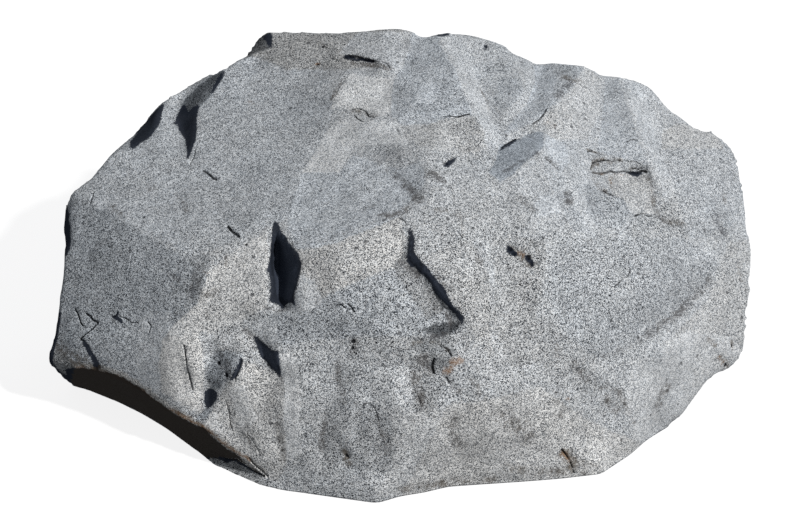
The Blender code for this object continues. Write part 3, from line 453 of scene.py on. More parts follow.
# Freshly broken places: half width, roughness, and the line on the board.
BREAKS = {
    "lip": (0.016, 1.0, [
        (-0.740, -0.212), (-0.690, -0.214), (-0.650, -0.220), (-0.600, -0.238), (-0.550, -0.265),
        (-0.500, -0.302), (-0.450, -0.330), (-0.410, -0.348), (-0.360, -0.389), (-0.320, -0.415),
        (-0.290, -0.447),
    ]),
    "slot": (0.022, 0.8, [(-0.388, -0.195), (-0.375, -0.220), (-0.380, -0.250)]),
    "shoulder": (0.020, 0.7, [(-0.430, -0.055), (-0.405, -0.060), (-0.395, -0.100)]),
    "tall notch": (0.014, 1.0, [(-0.275, 0.040), (-0.276, -0.020), (-0.270, -0.075), (-0.235, -0.088)]),
    "tall notch, right": (0.012, 0.9, [
        (-0.250, 0.060), (-0.225, 0.030), (-0.207, 0.000), (-0.222, -0.040),
    ]),
    "crevice": (0.014, 0.9, [
        (0.010, 0.060), (0.010, 0.015), (0.045, -0.030), (0.080, -0.075), (0.110, -0.110),
    ]),
    "crevice foot": (0.014, 0.7, [(0.055, -0.137), (0.090, -0.145), (0.128, -0.135)]),
    "scoop": (0.025, 0.7, [(0.045, -0.180), (0.080, -0.190), (0.110, -0.205)]),
    "ledge": (0.018, 0.8, [(0.405, 0.225), (0.440, 0.228), (0.490, 0.225), (0.525, 0.210)]),
    "below the ledge": (0.016, 0.6, [(0.430, 0.175), (0.450, 0.160), (0.480, 0.140)]),
    "blade top": (0.016, 0.7, [(0.350, 0.400), (0.375, 0.395), (0.395, 0.410)]),
    "foot crack": (0.020, 0.8, [(0.345, -0.395), (0.362, -0.415), (0.372, -0.440)]),
    "twin pits": (0.018, 0.8, [(0.238, 0.035), (0.258, 0.022), (0.280, 0.005)]),
    "saddle": (0.012, 0.8, [(-0.130, 0.445), (-0.090, 0.447), (-0.040, 0.435)]),
    "right end": (0.020, 0.6, [(0.655, -0.160), (0.690, -0.205)]),
    "sill": (0.010, 0.8, [(0.080, 0.315), (0.150, 0.322)]),
}
# Patches of one tone: how much lighter (in doublings), warmth, and the outline on the board. Each lies over
# the ones before it. Their lightness is partly the faces' own tone and partly painted light and shade: faces
# are made lighter or darker as they catch the light, the darkest patches (in the notches, at the crevice's
# foot, under the lip and at the left tip) are painted shade, and those inside the notches lighten it.
PATCHES = {
    "trough": (-0.28, 0.10, [
        (0.190, 0.060), (0.312, 0.060), (0.310, -0.030), (0.292, -0.100), (0.310, -0.200), (0.240, -0.220),
        (0.195, -0.120), (0.205, -0.020),
    ]),
    "above the trough": (-0.22, 0.05, [
        (0.185, 0.150), (0.285, 0.150), (0.275, 0.090), (0.250, 0.060), (0.190, 0.060),
    ]),
    "under the brow pit": (-0.20, 0.05, [
        (0.070, 0.170), (0.190, 0.190), (0.185, 0.060), (0.100, 0.040), (0.040, 0.100),
    ]),
    "right of the face": (0.00, 0.05, [
        (0.600, 0.060), (0.750, 0.100), (0.750, 0.000), (0.700, -0.060), (0.640, -0.020), (0.680, 0.010),
    ]),
    "left shoulder": (-0.40, -0.25, [
        (-0.600, 0.100), (-0.470, 0.030), (-0.400, 0.020), (-0.430, -0.070), (-0.480, -0.070),
        (-0.450, -0.010),
    ]),
    "right spots": (-0.28, 0.00, [
        (0.300, -0.100), (0.350, -0.140), (0.420, -0.200), (0.420, -0.270), (0.340, -0.260),
        (0.300, -0.200),
    ]),
    "far foot": (0.36, 0.20, [
        (0.500, -0.200), (0.640, -0.230), (0.750, -0.180), (0.640, -0.290), (0.500, -0.390),
        (0.480, -0.290),
    ]),
    "left face": (-0.35, -0.40, [
        (-0.760, -0.240), (-0.720, 0.160), (-0.600, 0.100), (-0.470, 0.020), (-0.408, -0.013),
        (-0.434, -0.081), (-0.485, -0.127), (-0.508, -0.157), (-0.515, -0.202), (-0.508, -0.240),
        (-0.600, -0.250),
    ]),
    "left face, middle": (-0.62, -0.40, [
        (-0.670, 0.030), (-0.630, 0.060), (-0.580, 0.030), (-0.570, -0.040), (-0.600, -0.080),
        (-0.650, -0.040),
    ]),
    "left face, lower": (-0.18, -0.30, [
        (-0.640, -0.150), (-0.560, -0.125), (-0.500, -0.100), (-0.560, -0.270), (-0.600, -0.240),
        (-0.640, -0.200),
    ]),
    "left face, by the pillar": (0.22, -0.10, [
        (-0.545, -0.100), (-0.490, -0.100), (-0.485, -0.127), (-0.508, -0.157), (-0.515, -0.202),
        (-0.508, -0.240), (-0.520, -0.275), (-0.560, -0.250), (-0.568, -0.190), (-0.555, -0.140),
    ]),
    "big face": (-0.04, -0.20, [
        (-0.72, 0.16), (-0.60, 0.30), (-0.33, 0.45), (-0.16, 0.43), (-0.14, 0.35), (-0.15, 0.30),
        (-0.21, 0.20), (-0.24, 0.10), (-0.34, 0.06), (-0.44, 0.02), (-0.60, 0.10),
    ]),
    "top rim": (-0.42, 0.30, [
        (-0.34, 0.46), (-0.29, 0.52), (0.06, 0.53), (0.03, 0.48), (-0.02, 0.43), (-0.12, 0.42),
        (-0.24, 0.42),
    ]),
    "warm band": (0.40, 0.20, [
        (-0.21, 0.20), (-0.15, 0.30), (-0.10, 0.32), (0.00, 0.305), (0.02, 0.26), (-0.04, 0.26),
        (-0.10, 0.255), (-0.13, 0.20),
    ]),
    "grey face": (0.18, -0.30, [
        (-0.24, 0.10), (-0.21, 0.20), (-0.13, 0.20), (-0.10, 0.240), (-0.05, 0.218), (0.00, 0.208),
        (0.04, 0.222), (0.06, 0.18), (0.03, 0.15), (0.00, 0.107), (-0.05, 0.085), (-0.15, 0.045),
        (-0.225, 0.035),
    ]),
    "warm facet": (0.36, 0.30, [
        (-0.105, 0.412), (-0.062, 0.405), (-0.012, 0.400), (-0.018, 0.330), (-0.045, 0.320),
        (-0.100, 0.334), (-0.148, 0.335), (-0.142, 0.358), (-0.125, 0.385),
    ]),
    "saddle": (0.07, 0.00, [
        (-0.09, 0.50), (0.03, 0.50), (0.02, 0.465), (0.01, 0.43), (-0.02, 0.425), (-0.055, 0.44),
        (-0.13, 0.455),
    ]),
    "gable": (0.04, -0.35, [
        (0.025, 0.498), (0.018, 0.465), (0.010, 0.430), (-0.012, 0.400), (-0.020, 0.360), (-0.018, 0.325),
        (0.000, 0.303), (0.060, 0.303), (0.100, 0.318), (0.158, 0.324), (0.136, 0.370), (0.120, 0.415),
        (0.100, 0.455), (0.082, 0.495),
    ]),
    "gable, pale wedge": (0.38, -0.20, [
        (0.048, 0.395), (0.068, 0.405), (0.075, 0.380), (0.065, 0.345), (0.030, 0.350),
    ]),
    "gable riser": (0.14, 0.10, [
        (0.100, 0.490), (0.082, 0.480), (0.120, 0.415), (0.136, 0.370), (0.158, 0.324), (0.183, 0.285),
        (0.213, 0.256), (0.205, 0.300), (0.186, 0.350), (0.165, 0.400), (0.150, 0.440),
    ]),
    "below the sill": (0.08, 0.25, [
        (0.000, 0.303), (0.060, 0.303), (0.100, 0.316), (0.158, 0.322), (0.180, 0.288), (0.185, 0.250),
        (0.130, 0.235), (0.060, 0.250), (0.010, 0.275),
    ]),
    "below the sill, right": (-0.27, 0.20, [
        (0.105, 0.302), (0.158, 0.318), (0.180, 0.288), (0.185, 0.250), (0.130, 0.240), (0.110, 0.260),
    ]),
    "gable, right": (-0.19, -0.40, [
        (0.085, 0.398), (0.125, 0.395), (0.136, 0.370), (0.140, 0.345), (0.100, 0.335), (0.080, 0.345),
        (0.083, 0.375),
    ]),
    "shield": (0.02, -0.10, [
        (0.155, 0.430), (0.195, 0.440), (0.240, 0.432), (0.264, 0.400), (0.262, 0.372), (0.238, 0.345),
        (0.213, 0.318), (0.198, 0.312), (0.186, 0.350), (0.172, 0.390),
    ]),
    "shield, right": (-0.12, -0.30, [
        (0.212, 0.400), (0.255, 0.400), (0.262, 0.372), (0.243, 0.345), (0.215, 0.333), (0.200, 0.352),
        (0.205, 0.385),
    ]),
    "shield, top": (-0.50, -0.30, [(0.185, 0.436), (0.235, 0.436), (0.232, 0.412), (0.188, 0.408)]),
    "blade valley": (0.08, -0.35, [
        (0.287, 0.429), (0.340, 0.432), (0.392, 0.427), (0.380, 0.408), (0.355, 0.378), (0.325, 0.345),
        (0.298, 0.312), (0.262, 0.298), (0.225, 0.285), (0.240, 0.312), (0.270, 0.345), (0.288, 0.390),
    ]),
    "blade valley, top": (-0.20, -0.25, [
        (0.315, 0.432), (0.394, 0.427), (0.388, 0.405), (0.360, 0.375), (0.335, 0.352), (0.322, 0.368),
        (0.338, 0.398),
    ]),
    "blade": (0.06, 0.25, [
        (0.394, 0.427), (0.372, 0.385), (0.340, 0.350), (0.305, 0.315), (0.310, 0.285), (0.330, 0.270),
        (0.400, 0.270), (0.425, 0.330), (0.430, 0.400),
    ]),
    "slate": (-0.28, -0.85, [
        (0.205, 0.225), (0.213, 0.256), (0.250, 0.270), (0.290, 0.287), (0.306, 0.285), (0.304, 0.250),
        (0.272, 0.226), (0.240, 0.196), (0.215, 0.180), (0.190, 0.200),
    ]),
    "brow": (-0.22, 0.00, [
        (0.060, 0.245), (0.130, 0.235), (0.185, 0.250), (0.200, 0.240), (0.150, 0.225), (0.100, 0.190),
        (0.050, 0.180),
    ]),
    "slate, left": (-0.30, -0.15, [
        (0.100, 0.190), (0.150, 0.225), (0.200, 0.240), (0.205, 0.225), (0.190, 0.200), (0.150, 0.200),
    ]),
    "pale spot": (0.28, -0.10, [
        (0.300, 0.155), (0.335, 0.150), (0.345, 0.115), (0.300, 0.105), (0.288, 0.130),
    ]),
    "stripe": (0.05, -0.15, [
        (0.306, 0.285), (0.330, 0.270), (0.345, 0.230), (0.352, 0.190), (0.372, 0.150), (0.385, 0.110),
        (0.420, 0.060), (0.395, 0.055), (0.360, 0.090), (0.335, 0.150), (0.310, 0.200), (0.304, 0.250),
    ]),
    "stripe, top": (0.32, -0.15, [
        (0.306, 0.285), (0.330, 0.272), (0.352, 0.262), (0.362, 0.225), (0.345, 0.200), (0.330, 0.215),
        (0.315, 0.245),
    ]),
    "beside the slate": (0.14, 0.00, [
        (0.255, 0.210), (0.300, 0.235), (0.310, 0.190), (0.295, 0.160), (0.250, 0.165),
    ]),
    "bright ridge": (0.13, 0.00, [
        (0.465, 0.403), (0.505, 0.400), (0.530, 0.350), (0.530, 0.270), (0.555, 0.200), (0.575, 0.150),
        (0.560, 0.150), (0.535, 0.200), (0.515, 0.260), (0.490, 0.330),
    ]),
    "tread": (0.10, -0.25, [
        (0.440, 0.400), (0.465, 0.400), (0.490, 0.330), (0.515, 0.255), (0.530, 0.215), (0.500, 0.225),
        (0.420, 0.245), (0.430, 0.300),
    ]),
    "below the ledge": (0.04, 0.30, [
        (0.440, 0.195), (0.530, 0.195), (0.545, 0.150), (0.545, 0.110), (0.500, 0.110), (0.455, 0.150),
    ]),
    "cool step": (-0.30, -0.25, [
        (0.395, 0.180), (0.440, 0.160), (0.480, 0.140), (0.490, 0.110), (0.470, 0.080), (0.420, 0.085),
        (0.400, 0.120),
    ]),
    "far right, warm": (0.00, 0.35, [
        (0.560, 0.290), (0.600, 0.305), (0.680, 0.280), (0.690, 0.250), (0.560, 0.250),
    ]),
    "far right": (-0.14, -0.10, [
        (0.570, 0.250), (0.690, 0.250), (0.735, 0.150), (0.700, 0.060), (0.620, 0.060), (0.590, 0.150),
    ]),
    "lower right face": (-0.22, -0.15, [
        (0.340, 0.060), (0.460, 0.060), (0.600, 0.060), (0.680, 0.010), (0.640, -0.060), (0.520, -0.150),
        (0.420, -0.200), (0.340, -0.130), (0.310, -0.030),
    ]),
    "lower right rim": (-0.05, 0.25, [
        (0.700, 0.050), (0.760, 0.060), (0.750, -0.190), (0.640, -0.230), (0.560, -0.170), (0.660, -0.070),
    ]),
    "lower right rim, foot": (0.30, 0.25, [
        (0.750, -0.190), (0.640, -0.235), (0.560, -0.215), (0.560, -0.165), (0.610, -0.140),
        (0.700, -0.150),
    ]),
    "right of the crevice": (-0.18, 0.20, [
        (0.100, 0.040), (0.150, 0.060), (0.190, -0.020), (0.195, -0.200), (0.140, -0.120), (0.100, -0.060),
        (0.050, 0.020),
    ]),
    "below the crevice": (-0.72, -0.10, [
        (0.015, -0.140), (0.050, -0.110), (0.108, -0.138), (0.120, -0.190), (0.112, -0.210),
        (0.085, -0.190), (0.050, -0.190), (0.020, -0.170),
    ]),
    "scoop": (-0.51, 0.00, [
        (0.020, -0.190), (0.090, -0.188), (0.112, -0.215), (0.090, -0.260), (0.070, -0.310),
        (0.030, -0.310), (0.020, -0.250),
    ]),
    "left of the ledge": (-0.38, 0.00, [
        (-0.120, -0.150), (0.020, -0.150), (0.025, -0.215), (-0.050, -0.215), (-0.110, -0.200),
    ]),
    "pillar": (0.29, 0.40, [
        (-0.408, -0.013), (-0.332, 0.048), (-0.285, 0.075), (-0.280, 0.000), (-0.285, -0.090),
        (-0.330, -0.110), (-0.360, -0.150), (-0.430, -0.140), (-0.508, -0.157), (-0.485, -0.127),
        (-0.434, -0.081),
    ]),
    "pillar foot": (0.36, 0.60, [
        (-0.508, -0.157), (-0.430, -0.140), (-0.415, -0.230), (-0.425, -0.320), (-0.508, -0.270),
        (-0.515, -0.202),
    ]),
    "bright band": (0.04, 0.35, [
        (-0.225, 0.035), (-0.150, 0.045), (-0.050, 0.085), (0.000, 0.105), (0.012, 0.060), (0.000, 0.005),
        (-0.050, -0.015), (-0.110, -0.040), (-0.200, -0.085), (-0.215, -0.050),
    ]),
    "grey band": (-0.20, -0.30, [
        (-0.290, -0.105), (-0.220, -0.095), (-0.110, -0.042), (-0.050, -0.018), (0.000, 0.000),
        (0.060, -0.045), (0.110, -0.110), (0.050, -0.150), (-0.100, -0.150), (-0.250, -0.170),
        (-0.330, -0.130),
    ]),
    "above the slot": (-0.16, 0.10, [
        (-0.400, -0.135), (-0.345, -0.120), (-0.315, -0.145), (-0.305, -0.175), (-0.330, -0.190),
        (-0.390, -0.185),
    ]),
    "above the small notch": (0.44, 0.00, [
        (-0.325, -0.125), (-0.290, -0.110), (-0.262, -0.120), (-0.262, -0.165), (-0.285, -0.165),
        (-0.310, -0.145),
    ]),
    "right of the tall notch": (0.54, 0.10, [
        (-0.212, -0.020), (-0.180, -0.030), (-0.165, -0.080), (-0.200, -0.097), (-0.235, -0.097),
        (-0.222, -0.060),
    ]),
    "lower front, warm": (0.13, 0.45, [
        (-0.420, -0.340), (-0.340, -0.200), (-0.240, -0.240), (-0.210, -0.330), (-0.260, -0.460),
        (-0.330, -0.440),
    ]),
    "flute 5": (-0.32, 0.00, [
        (-0.100, -0.290), (-0.055, -0.290), (-0.030, -0.340), (-0.010, -0.400), (-0.030, -0.440),
        (-0.100, -0.430), (-0.090, -0.350),
    ]),
    "right of the step": (-0.30, 0.00, [
        (0.490, 0.060), (0.620, 0.060), (0.590, 0.150), (0.570, 0.140), (0.545, 0.110), (0.500, 0.108),
        (0.480, 0.080),
    ]),
    "under the slate": (-0.06, 0.00, [
        (0.130, 0.185), (0.190, 0.195), (0.215, 0.180), (0.240, 0.190), (0.260, 0.150), (0.110, 0.165),
    ]),
    "front foot": (0.20, 0.20, [
        (-0.020, -0.320), (0.100, -0.300), (0.100, -0.490), (-0.050, -0.490), (-0.010, -0.400),
    ]),
    "beside the scoop": (0.15, 0.10, [
        (-0.055, -0.222), (0.012, -0.222), (0.010, -0.300), (-0.030, -0.310), (-0.055, -0.290),
    ]),
    "right foot": (0.17, 0.45, [
        (0.100, -0.300), (0.300, -0.260), (0.420, -0.340), (0.520, -0.380), (0.420, -0.460),
        (0.000, -0.500),
    ]),
    "lip corner": (0.60, 0.45, [
        (-0.430, -0.322), (-0.392, -0.312), (-0.380, -0.355), (-0.402, -0.372), (-0.428, -0.345),
    ]),
    "flute 1, right side": (0.60, 0.40, [
        (-0.368, -0.255), (-0.330, -0.255), (-0.305, -0.330), (-0.340, -0.345),
    ]),
    "flute 2, right side": (0.68, 0.30, [
        (-0.268, -0.190), (-0.225, -0.185), (-0.213, -0.270), (-0.213, -0.405), (-0.240, -0.420),
        (-0.250, -0.330), (-0.246, -0.250),
    ]),
    "left of the crevice": (-0.70, 0.00, [
        (-0.015, 0.000), (0.012, 0.030), (0.030, 0.002), (0.100, -0.090), (0.060, -0.115), (0.020, -0.060),
    ]),
    "slot": (-0.52, -0.45, [
        (-0.402, -0.191), (-0.372, -0.180), (-0.338, -0.191), (-0.340, -0.206), (-0.357, -0.233),
        (-0.376, -0.251), (-0.389, -0.265), (-0.402, -0.262), (-0.412, -0.240), (-0.408, -0.210),
    ]),
    "slot, tail": (-0.40, -0.50, [
        (-0.410, -0.305), (-0.400, -0.308), (-0.417, -0.331), (-0.438, -0.334), (-0.425, -0.314),
    ]),
    "upper left notch, head": (-1.60, -2.00, [
        (-0.376, 0.418), (-0.404, 0.405), (-0.432, 0.383), (-0.458, 0.358), (-0.472, 0.329),
        (-0.440, 0.320), (-0.429, 0.343), (-0.404, 0.365), (-0.389, 0.387),
    ]),
    "top left notch": (-1.75, -0.20, [
        (-0.275, 0.505), (-0.275, 0.466), (-0.288, 0.462), (-0.317, 0.451), (-0.335, 0.444),
        (-0.324, 0.465), (-0.310, 0.480),
    ]),
    "crevice foot": (-2.30, -0.60, [
        (0.047, -0.136), (0.074, -0.124), (0.106, -0.122), (0.132, -0.118), (0.126, -0.128),
        (0.108, -0.142), (0.082, -0.151), (0.059, -0.143),
    ]),
    "underside": (0.00, 1.00, [
        (-0.760, -0.205), (-0.682, -0.205), (-0.591, -0.225), (-0.500, -0.290), (-0.395, -0.360),
        (-0.280, -0.440), (-0.420, -0.450), (-0.760, -0.300),
    ]),
    "left tip": (-0.95, 0.00, [
        (-0.780, -0.170), (-0.735, -0.165), (-0.712, -0.190), (-0.690, -0.205), (-0.700, -0.230),
        (-0.705, -0.260), (-0.780, -0.250),
    ]),
    "lip strip": (-0.60, 0.00, [
        (-0.430, -0.412), (-0.385, -0.408), (-0.350, -0.416), (-0.330, -0.426), (-0.300, -0.445),
        (-0.275, -0.470), (-0.340, -0.470), (-0.400, -0.445),
    ]),
    "tall notch, inside": (0.45, -0.30, [
        (-0.264, 0.075), (-0.268, 0.020), (-0.270, -0.010), (-0.264, -0.065), (-0.235, -0.075),
        (-0.225, -0.045), (-0.216, 0.005), (-0.235, 0.042), (-0.255, 0.070),
    ]),
    "small notch, inside": (0.35, -0.30, [
        (-0.298, -0.165), (-0.280, -0.180), (-0.265, -0.185), (-0.261, -0.225), (-0.284, -0.205),
        (-0.298, -0.185),
    ]),
    "crevice, inside": (0.50, -0.30, [
        (0.025, 0.064), (0.026, 0.048), (0.024, 0.032), (0.036, 0.012), (0.050, -0.003), (0.064, -0.018),
        (0.077, -0.036), (0.090, -0.054), (0.100, -0.072), (0.112, -0.090), (0.103, -0.084),
        (0.087, -0.067), (0.075, -0.048), (0.065, -0.028), (0.047, -0.012), (0.036, 0.001), (0.022, 0.014),
        (0.022, 0.048),
    ]),
}
# Patches that are facets of their own, with a sharp edge.
PLAIN_FACETS = (
    "warm facet", "warm band", "gable", "gable, pale wedge", "gable riser", "shield", "blade valley",
    "slate", "stripe", "bright ridge", "tread", "bright band", "pillar",
)
# Painted shade, near black: the outlines on the board of deep places that no light reaches.
DEEPS = {
    "far left notch": [
        (-0.504, 0.350), (-0.510, 0.325), (-0.516, 0.303), (-0.533, 0.278), (-0.559, 0.260),
        (-0.574, 0.248), (-0.577, 0.262), (-0.557, 0.290), (-0.530, 0.322),
    ],
    "upper left notch": [
        (-0.456, 0.226), (-0.451, 0.235), (-0.438, 0.271), (-0.435, 0.303), (-0.436, 0.325),
        (-0.429, 0.343), (-0.440, 0.340), (-0.452, 0.328), (-0.462, 0.345), (-0.472, 0.329),
        (-0.483, 0.303), (-0.475, 0.305), (-0.470, 0.289), (-0.458, 0.271), (-0.453, 0.242),
    ],
    "left edge": [
        (-0.7245, 0.145), (-0.7135, 0.135), (-0.7085, 0.11), (-0.706, 0.075), (-0.7035, 0.045),
        (-0.712, 0.024), (-0.725, 0.020),
    ],
    "upper left notch, edge": [
        (-0.377, 0.415), (-0.379, 0.404), (-0.390, 0.385), (-0.404, 0.367), (-0.392, 0.395),
    ],
    "top left notch": [(-0.276, 0.500), (-0.275, 0.468), (-0.281, 0.466), (-0.284, 0.482), (-0.295, 0.488)],
    "tall notch": [
        (-0.268, 0.095), (-0.273, 0.074), (-0.275, 0.028), (-0.283, -0.007), (-0.276, -0.027),
        (-0.275, -0.046), (-0.278, -0.075), (-0.254, -0.081), (-0.251, -0.096), (-0.247, -0.083),
        (-0.233, -0.077), (-0.222, -0.087), (-0.229, -0.066), (-0.220, -0.035), (-0.214, -0.015),
        (-0.212, 0.008), (-0.219, 0.028), (-0.237, 0.046), (-0.245, 0.062), (-0.255, 0.071),
        (-0.260, 0.088),
    ],
    "small notch": [
        (-0.312, -0.149), (-0.300, -0.158), (-0.281, -0.174), (-0.272, -0.183), (-0.260, -0.178),
        (-0.259, -0.202), (-0.255, -0.238), (-0.268, -0.222), (-0.284, -0.207), (-0.296, -0.192),
        (-0.302, -0.175),
    ],
    "slot": [
        (-0.415, -0.267), (-0.405, -0.262), (-0.390, -0.272), (-0.394, -0.287), (-0.405, -0.301),
        (-0.412, -0.305), (-0.418, -0.288),
    ],
    "slot, edge": [
        (-0.339, -0.196), (-0.337, -0.210), (-0.346, -0.228), (-0.357, -0.243), (-0.364, -0.246),
        (-0.355, -0.230), (-0.346, -0.214),
    ],
    "crevice": [
        (0.020, 0.082), (0.028, 0.066), (0.031, 0.050), (0.028, 0.032), (0.039, 0.016), (0.053, 0.001),
        (0.067, -0.015), (0.081, -0.033), (0.095, -0.052), (0.104, -0.070), (0.111, -0.083),
        (0.123, -0.096), (0.137, -0.110), (0.134, -0.124), (0.121, -0.107), (0.107, -0.093),
        (0.096, -0.078), (0.082, -0.067), (0.071, -0.049), (0.061, -0.029), (0.044, -0.013),
        (0.034, -0.001), (0.023, -0.001), (0.015, 0.014), (0.017, 0.048),
    ],
    "zigzag": [
        (-0.679, -0.158), (-0.672, -0.160), (-0.664, -0.174), (-0.655, -0.189), (-0.646, -0.203),
        (-0.637, -0.218), (-0.652, -0.219), (-0.657, -0.201), (-0.667, -0.184), (-0.675, -0.169),
    ],
    "left dash": [
        (-0.602, -0.098), (-0.607, -0.105), (-0.615, -0.109), (-0.604, -0.114), (-0.592, -0.124),
        (-0.596, -0.114), (-0.603, -0.108),
    ],
    "twin pit, left": [
        (0.229, 0.046), (0.235, 0.036), (0.243, 0.033), (0.252, 0.027), (0.246, 0.021), (0.236, 0.026),
        (0.229, 0.032),
    ],
    "twin pit, right": [
        (0.268, 0.021), (0.276, 0.017), (0.284, 0.013), (0.286, 0.004), (0.283, -0.002), (0.278, 0.006),
        (0.270, 0.012),
    ],
    "slate crack": [
        (0.216, 0.249), (0.224, 0.256), (0.236, 0.263), (0.247, 0.269), (0.240, 0.262), (0.228, 0.254),
    ],
    "brow pit": [
        (0.091, 0.213), (0.100, 0.218), (0.104, 0.226), (0.112, 0.226), (0.119, 0.232), (0.116, 0.224),
        (0.108, 0.217), (0.101, 0.211),
    ],
    "crown pit": [(0.179, 0.470), (0.184, 0.473), (0.186, 0.465), (0.181, 0.461)],
    "rim pit": [(0.080, 0.493), (0.092, 0.500), (0.106, 0.499), (0.104, 0.494), (0.090, 0.491)],
    "saddle crack": [
        (-0.122, 0.446), (-0.114, 0.450), (-0.104, 0.447), (-0.094, 0.443), (-0.080, 0.442),
        (-0.066, 0.439), (-0.054, 0.437), (-0.066, 0.435), (-0.082, 0.438), (-0.096, 0.439),
        (-0.108, 0.443),
    ],
    "ledge end": [
        (0.487, 0.199), (0.500, 0.201), (0.514, 0.201), (0.517, 0.196), (0.506, 0.192), (0.496, 0.194),
    ],
    "left tip, rim": [
        (-0.735, -0.100), (-0.724, -0.100), (-0.732, -0.150), (-0.744, -0.198), (-0.736, -0.217),
        (-0.715, -0.236), (-0.716, -0.262), (-0.745, -0.245), (-0.765, -0.210), (-0.750, -0.150),
    ],
    "undercut": [
        (-0.712, -0.221), (-0.682, -0.219), (-0.652, -0.222), (-0.618, -0.230), (-0.591, -0.240),
        (-0.561, -0.258), (-0.531, -0.282), (-0.500, -0.302), (-0.478, -0.319), (-0.448, -0.336),
        (-0.417, -0.349), (-0.395, -0.371), (-0.372, -0.390), (-0.352, -0.402), (-0.328, -0.424),
        (-0.296, -0.444), (-0.315, -0.438), (-0.335, -0.426), (-0.352, -0.417), (-0.368, -0.419),
        (-0.388, -0.410), (-0.406, -0.410), (-0.425, -0.425), (-0.500, -0.380), (-0.600, -0.330),
        (-0.704, -0.285), (-0.712, -0.250),
    ],
}

# The socket that each kind of a tree's inputs takes.
SOCKET_KINDS = {
    float: "NodeSocketFloat",
    int: "NodeSocketInt",
    bpy.types.Object: "NodeSocketObject",
    bpy.types.Material: "NodeSocketMaterial",
}


def board_normal():
    """Which way the board faces."""
    return (0.0, -math.cos(BOARD_LEAN), math.sin(BOARD_LEAN))


def board_spot(across, up):
    """A spot on the board, in the stone's own metres."""
    return Vector((across, up * math.sin(BOARD_LEAN), BOARD_HEIGHT + up * math.cos(BOARD_LEAN)))


def eye():
    """Where the stone is looked at from, straight out from the board's middle."""
    back = EYE_DISTANCE * math.cos(BOARD_LEAN)
    return Vector((0.0, -back, BOARD_HEIGHT + EYE_DISTANCE * math.sin(BOARD_LEAN)))


class Field:
    """A socket of a node tree. Arithmetic on it adds Math nodes, or, for vectors and colours, Vector Math."""

    def __init__(self, bench, socket):
        self.bench = bench
        self.socket = socket

    def _join(self, operation, first, second):
        sides = (first, second)
        vector = any(
            isinstance(side, (tuple, Vector))
            or (isinstance(side, Field) and side.socket.type in ("VECTOR", "RGBA"))
            for side in sides
        )
        kind = "ShaderNodeVectorMath" if vector else "ShaderNodeMath"
        return self.bench.add(kind, {"operation": operation}, dict(enumerate(sides)))

    def __add__(self, other):
        return self._join("ADD", self, other)

    def __radd__(self, other):
        return self._join("ADD", other, self)

    def __sub__(self, other):
        return self._join("SUBTRACT", self, other)

    def __rsub__(self, other):
        return self._join("SUBTRACT", other, self)

    def __mul__(self, other):
        return self._join("MULTIPLY", self, other)

    def __rmul__(self, other):
        return self._join("MULTIPLY", other, self)

    def __truediv__(self, other):
        return self._join("DIVIDE", self, other)

    def __rtruediv__(self, other):
        return self._join("DIVIDE", other, self)

    def __rpow__(self, other):
        return self._join("POWER", other, self)

    def high(self, other):
        """The higher of two numbers."""
        return self._join("MAXIMUM", self, other)

    def low(self, other):
        """The lower of two numbers."""
        return self._join("MINIMUM", self, other)

    def dot(self, other):
        """The dot product of two vectors."""
        return self._measure("DOT_PRODUCT", {0: self, 1: other}, "Value")

    def length(self):
        """How long a vector is."""
        return self._measure("LENGTH", {0: self}, "Value")

    def times(self, number):
        """A vector or a colour, scaled."""
        return self._measure("SCALE", {0: self, "Scale": number}, "Vector")

    def unit(self):
        """A vector made one long."""
        return self._measure("NORMALIZE", {0: self}, "Vector")

    def _measure(self, operation, sockets, out):
        return self.bench.add("ShaderNodeVectorMath", {"operation": operation}, sockets, out=out)

    def ramp(self, start, end, low=0.0, high=1.0):
        """Goes smoothly from low to high as the field goes from start to end."""
        return self.bench.add(
            "ShaderNodeMapRange",
            {"interpolation_type": "SMOOTHSTEP"},
            {"Value": self, "From Min": start, "From Max": end, "To Min": low, "To Max": high},
            out="Result",
        )

    def parts(self):
        """The numbers of a vector, one by one."""
        return self._split("ShaderNodeSeparateXYZ")

    def colour_parts(self):
        """The red, green and blue of a colour."""
        return self._split("ShaderNodeSeparateColor")

    def _split(self, kind):
        first = self.bench.add(kind, None, {0: self})
        return [Field(self.bench, socket) for socket in first.socket.node.outputs]


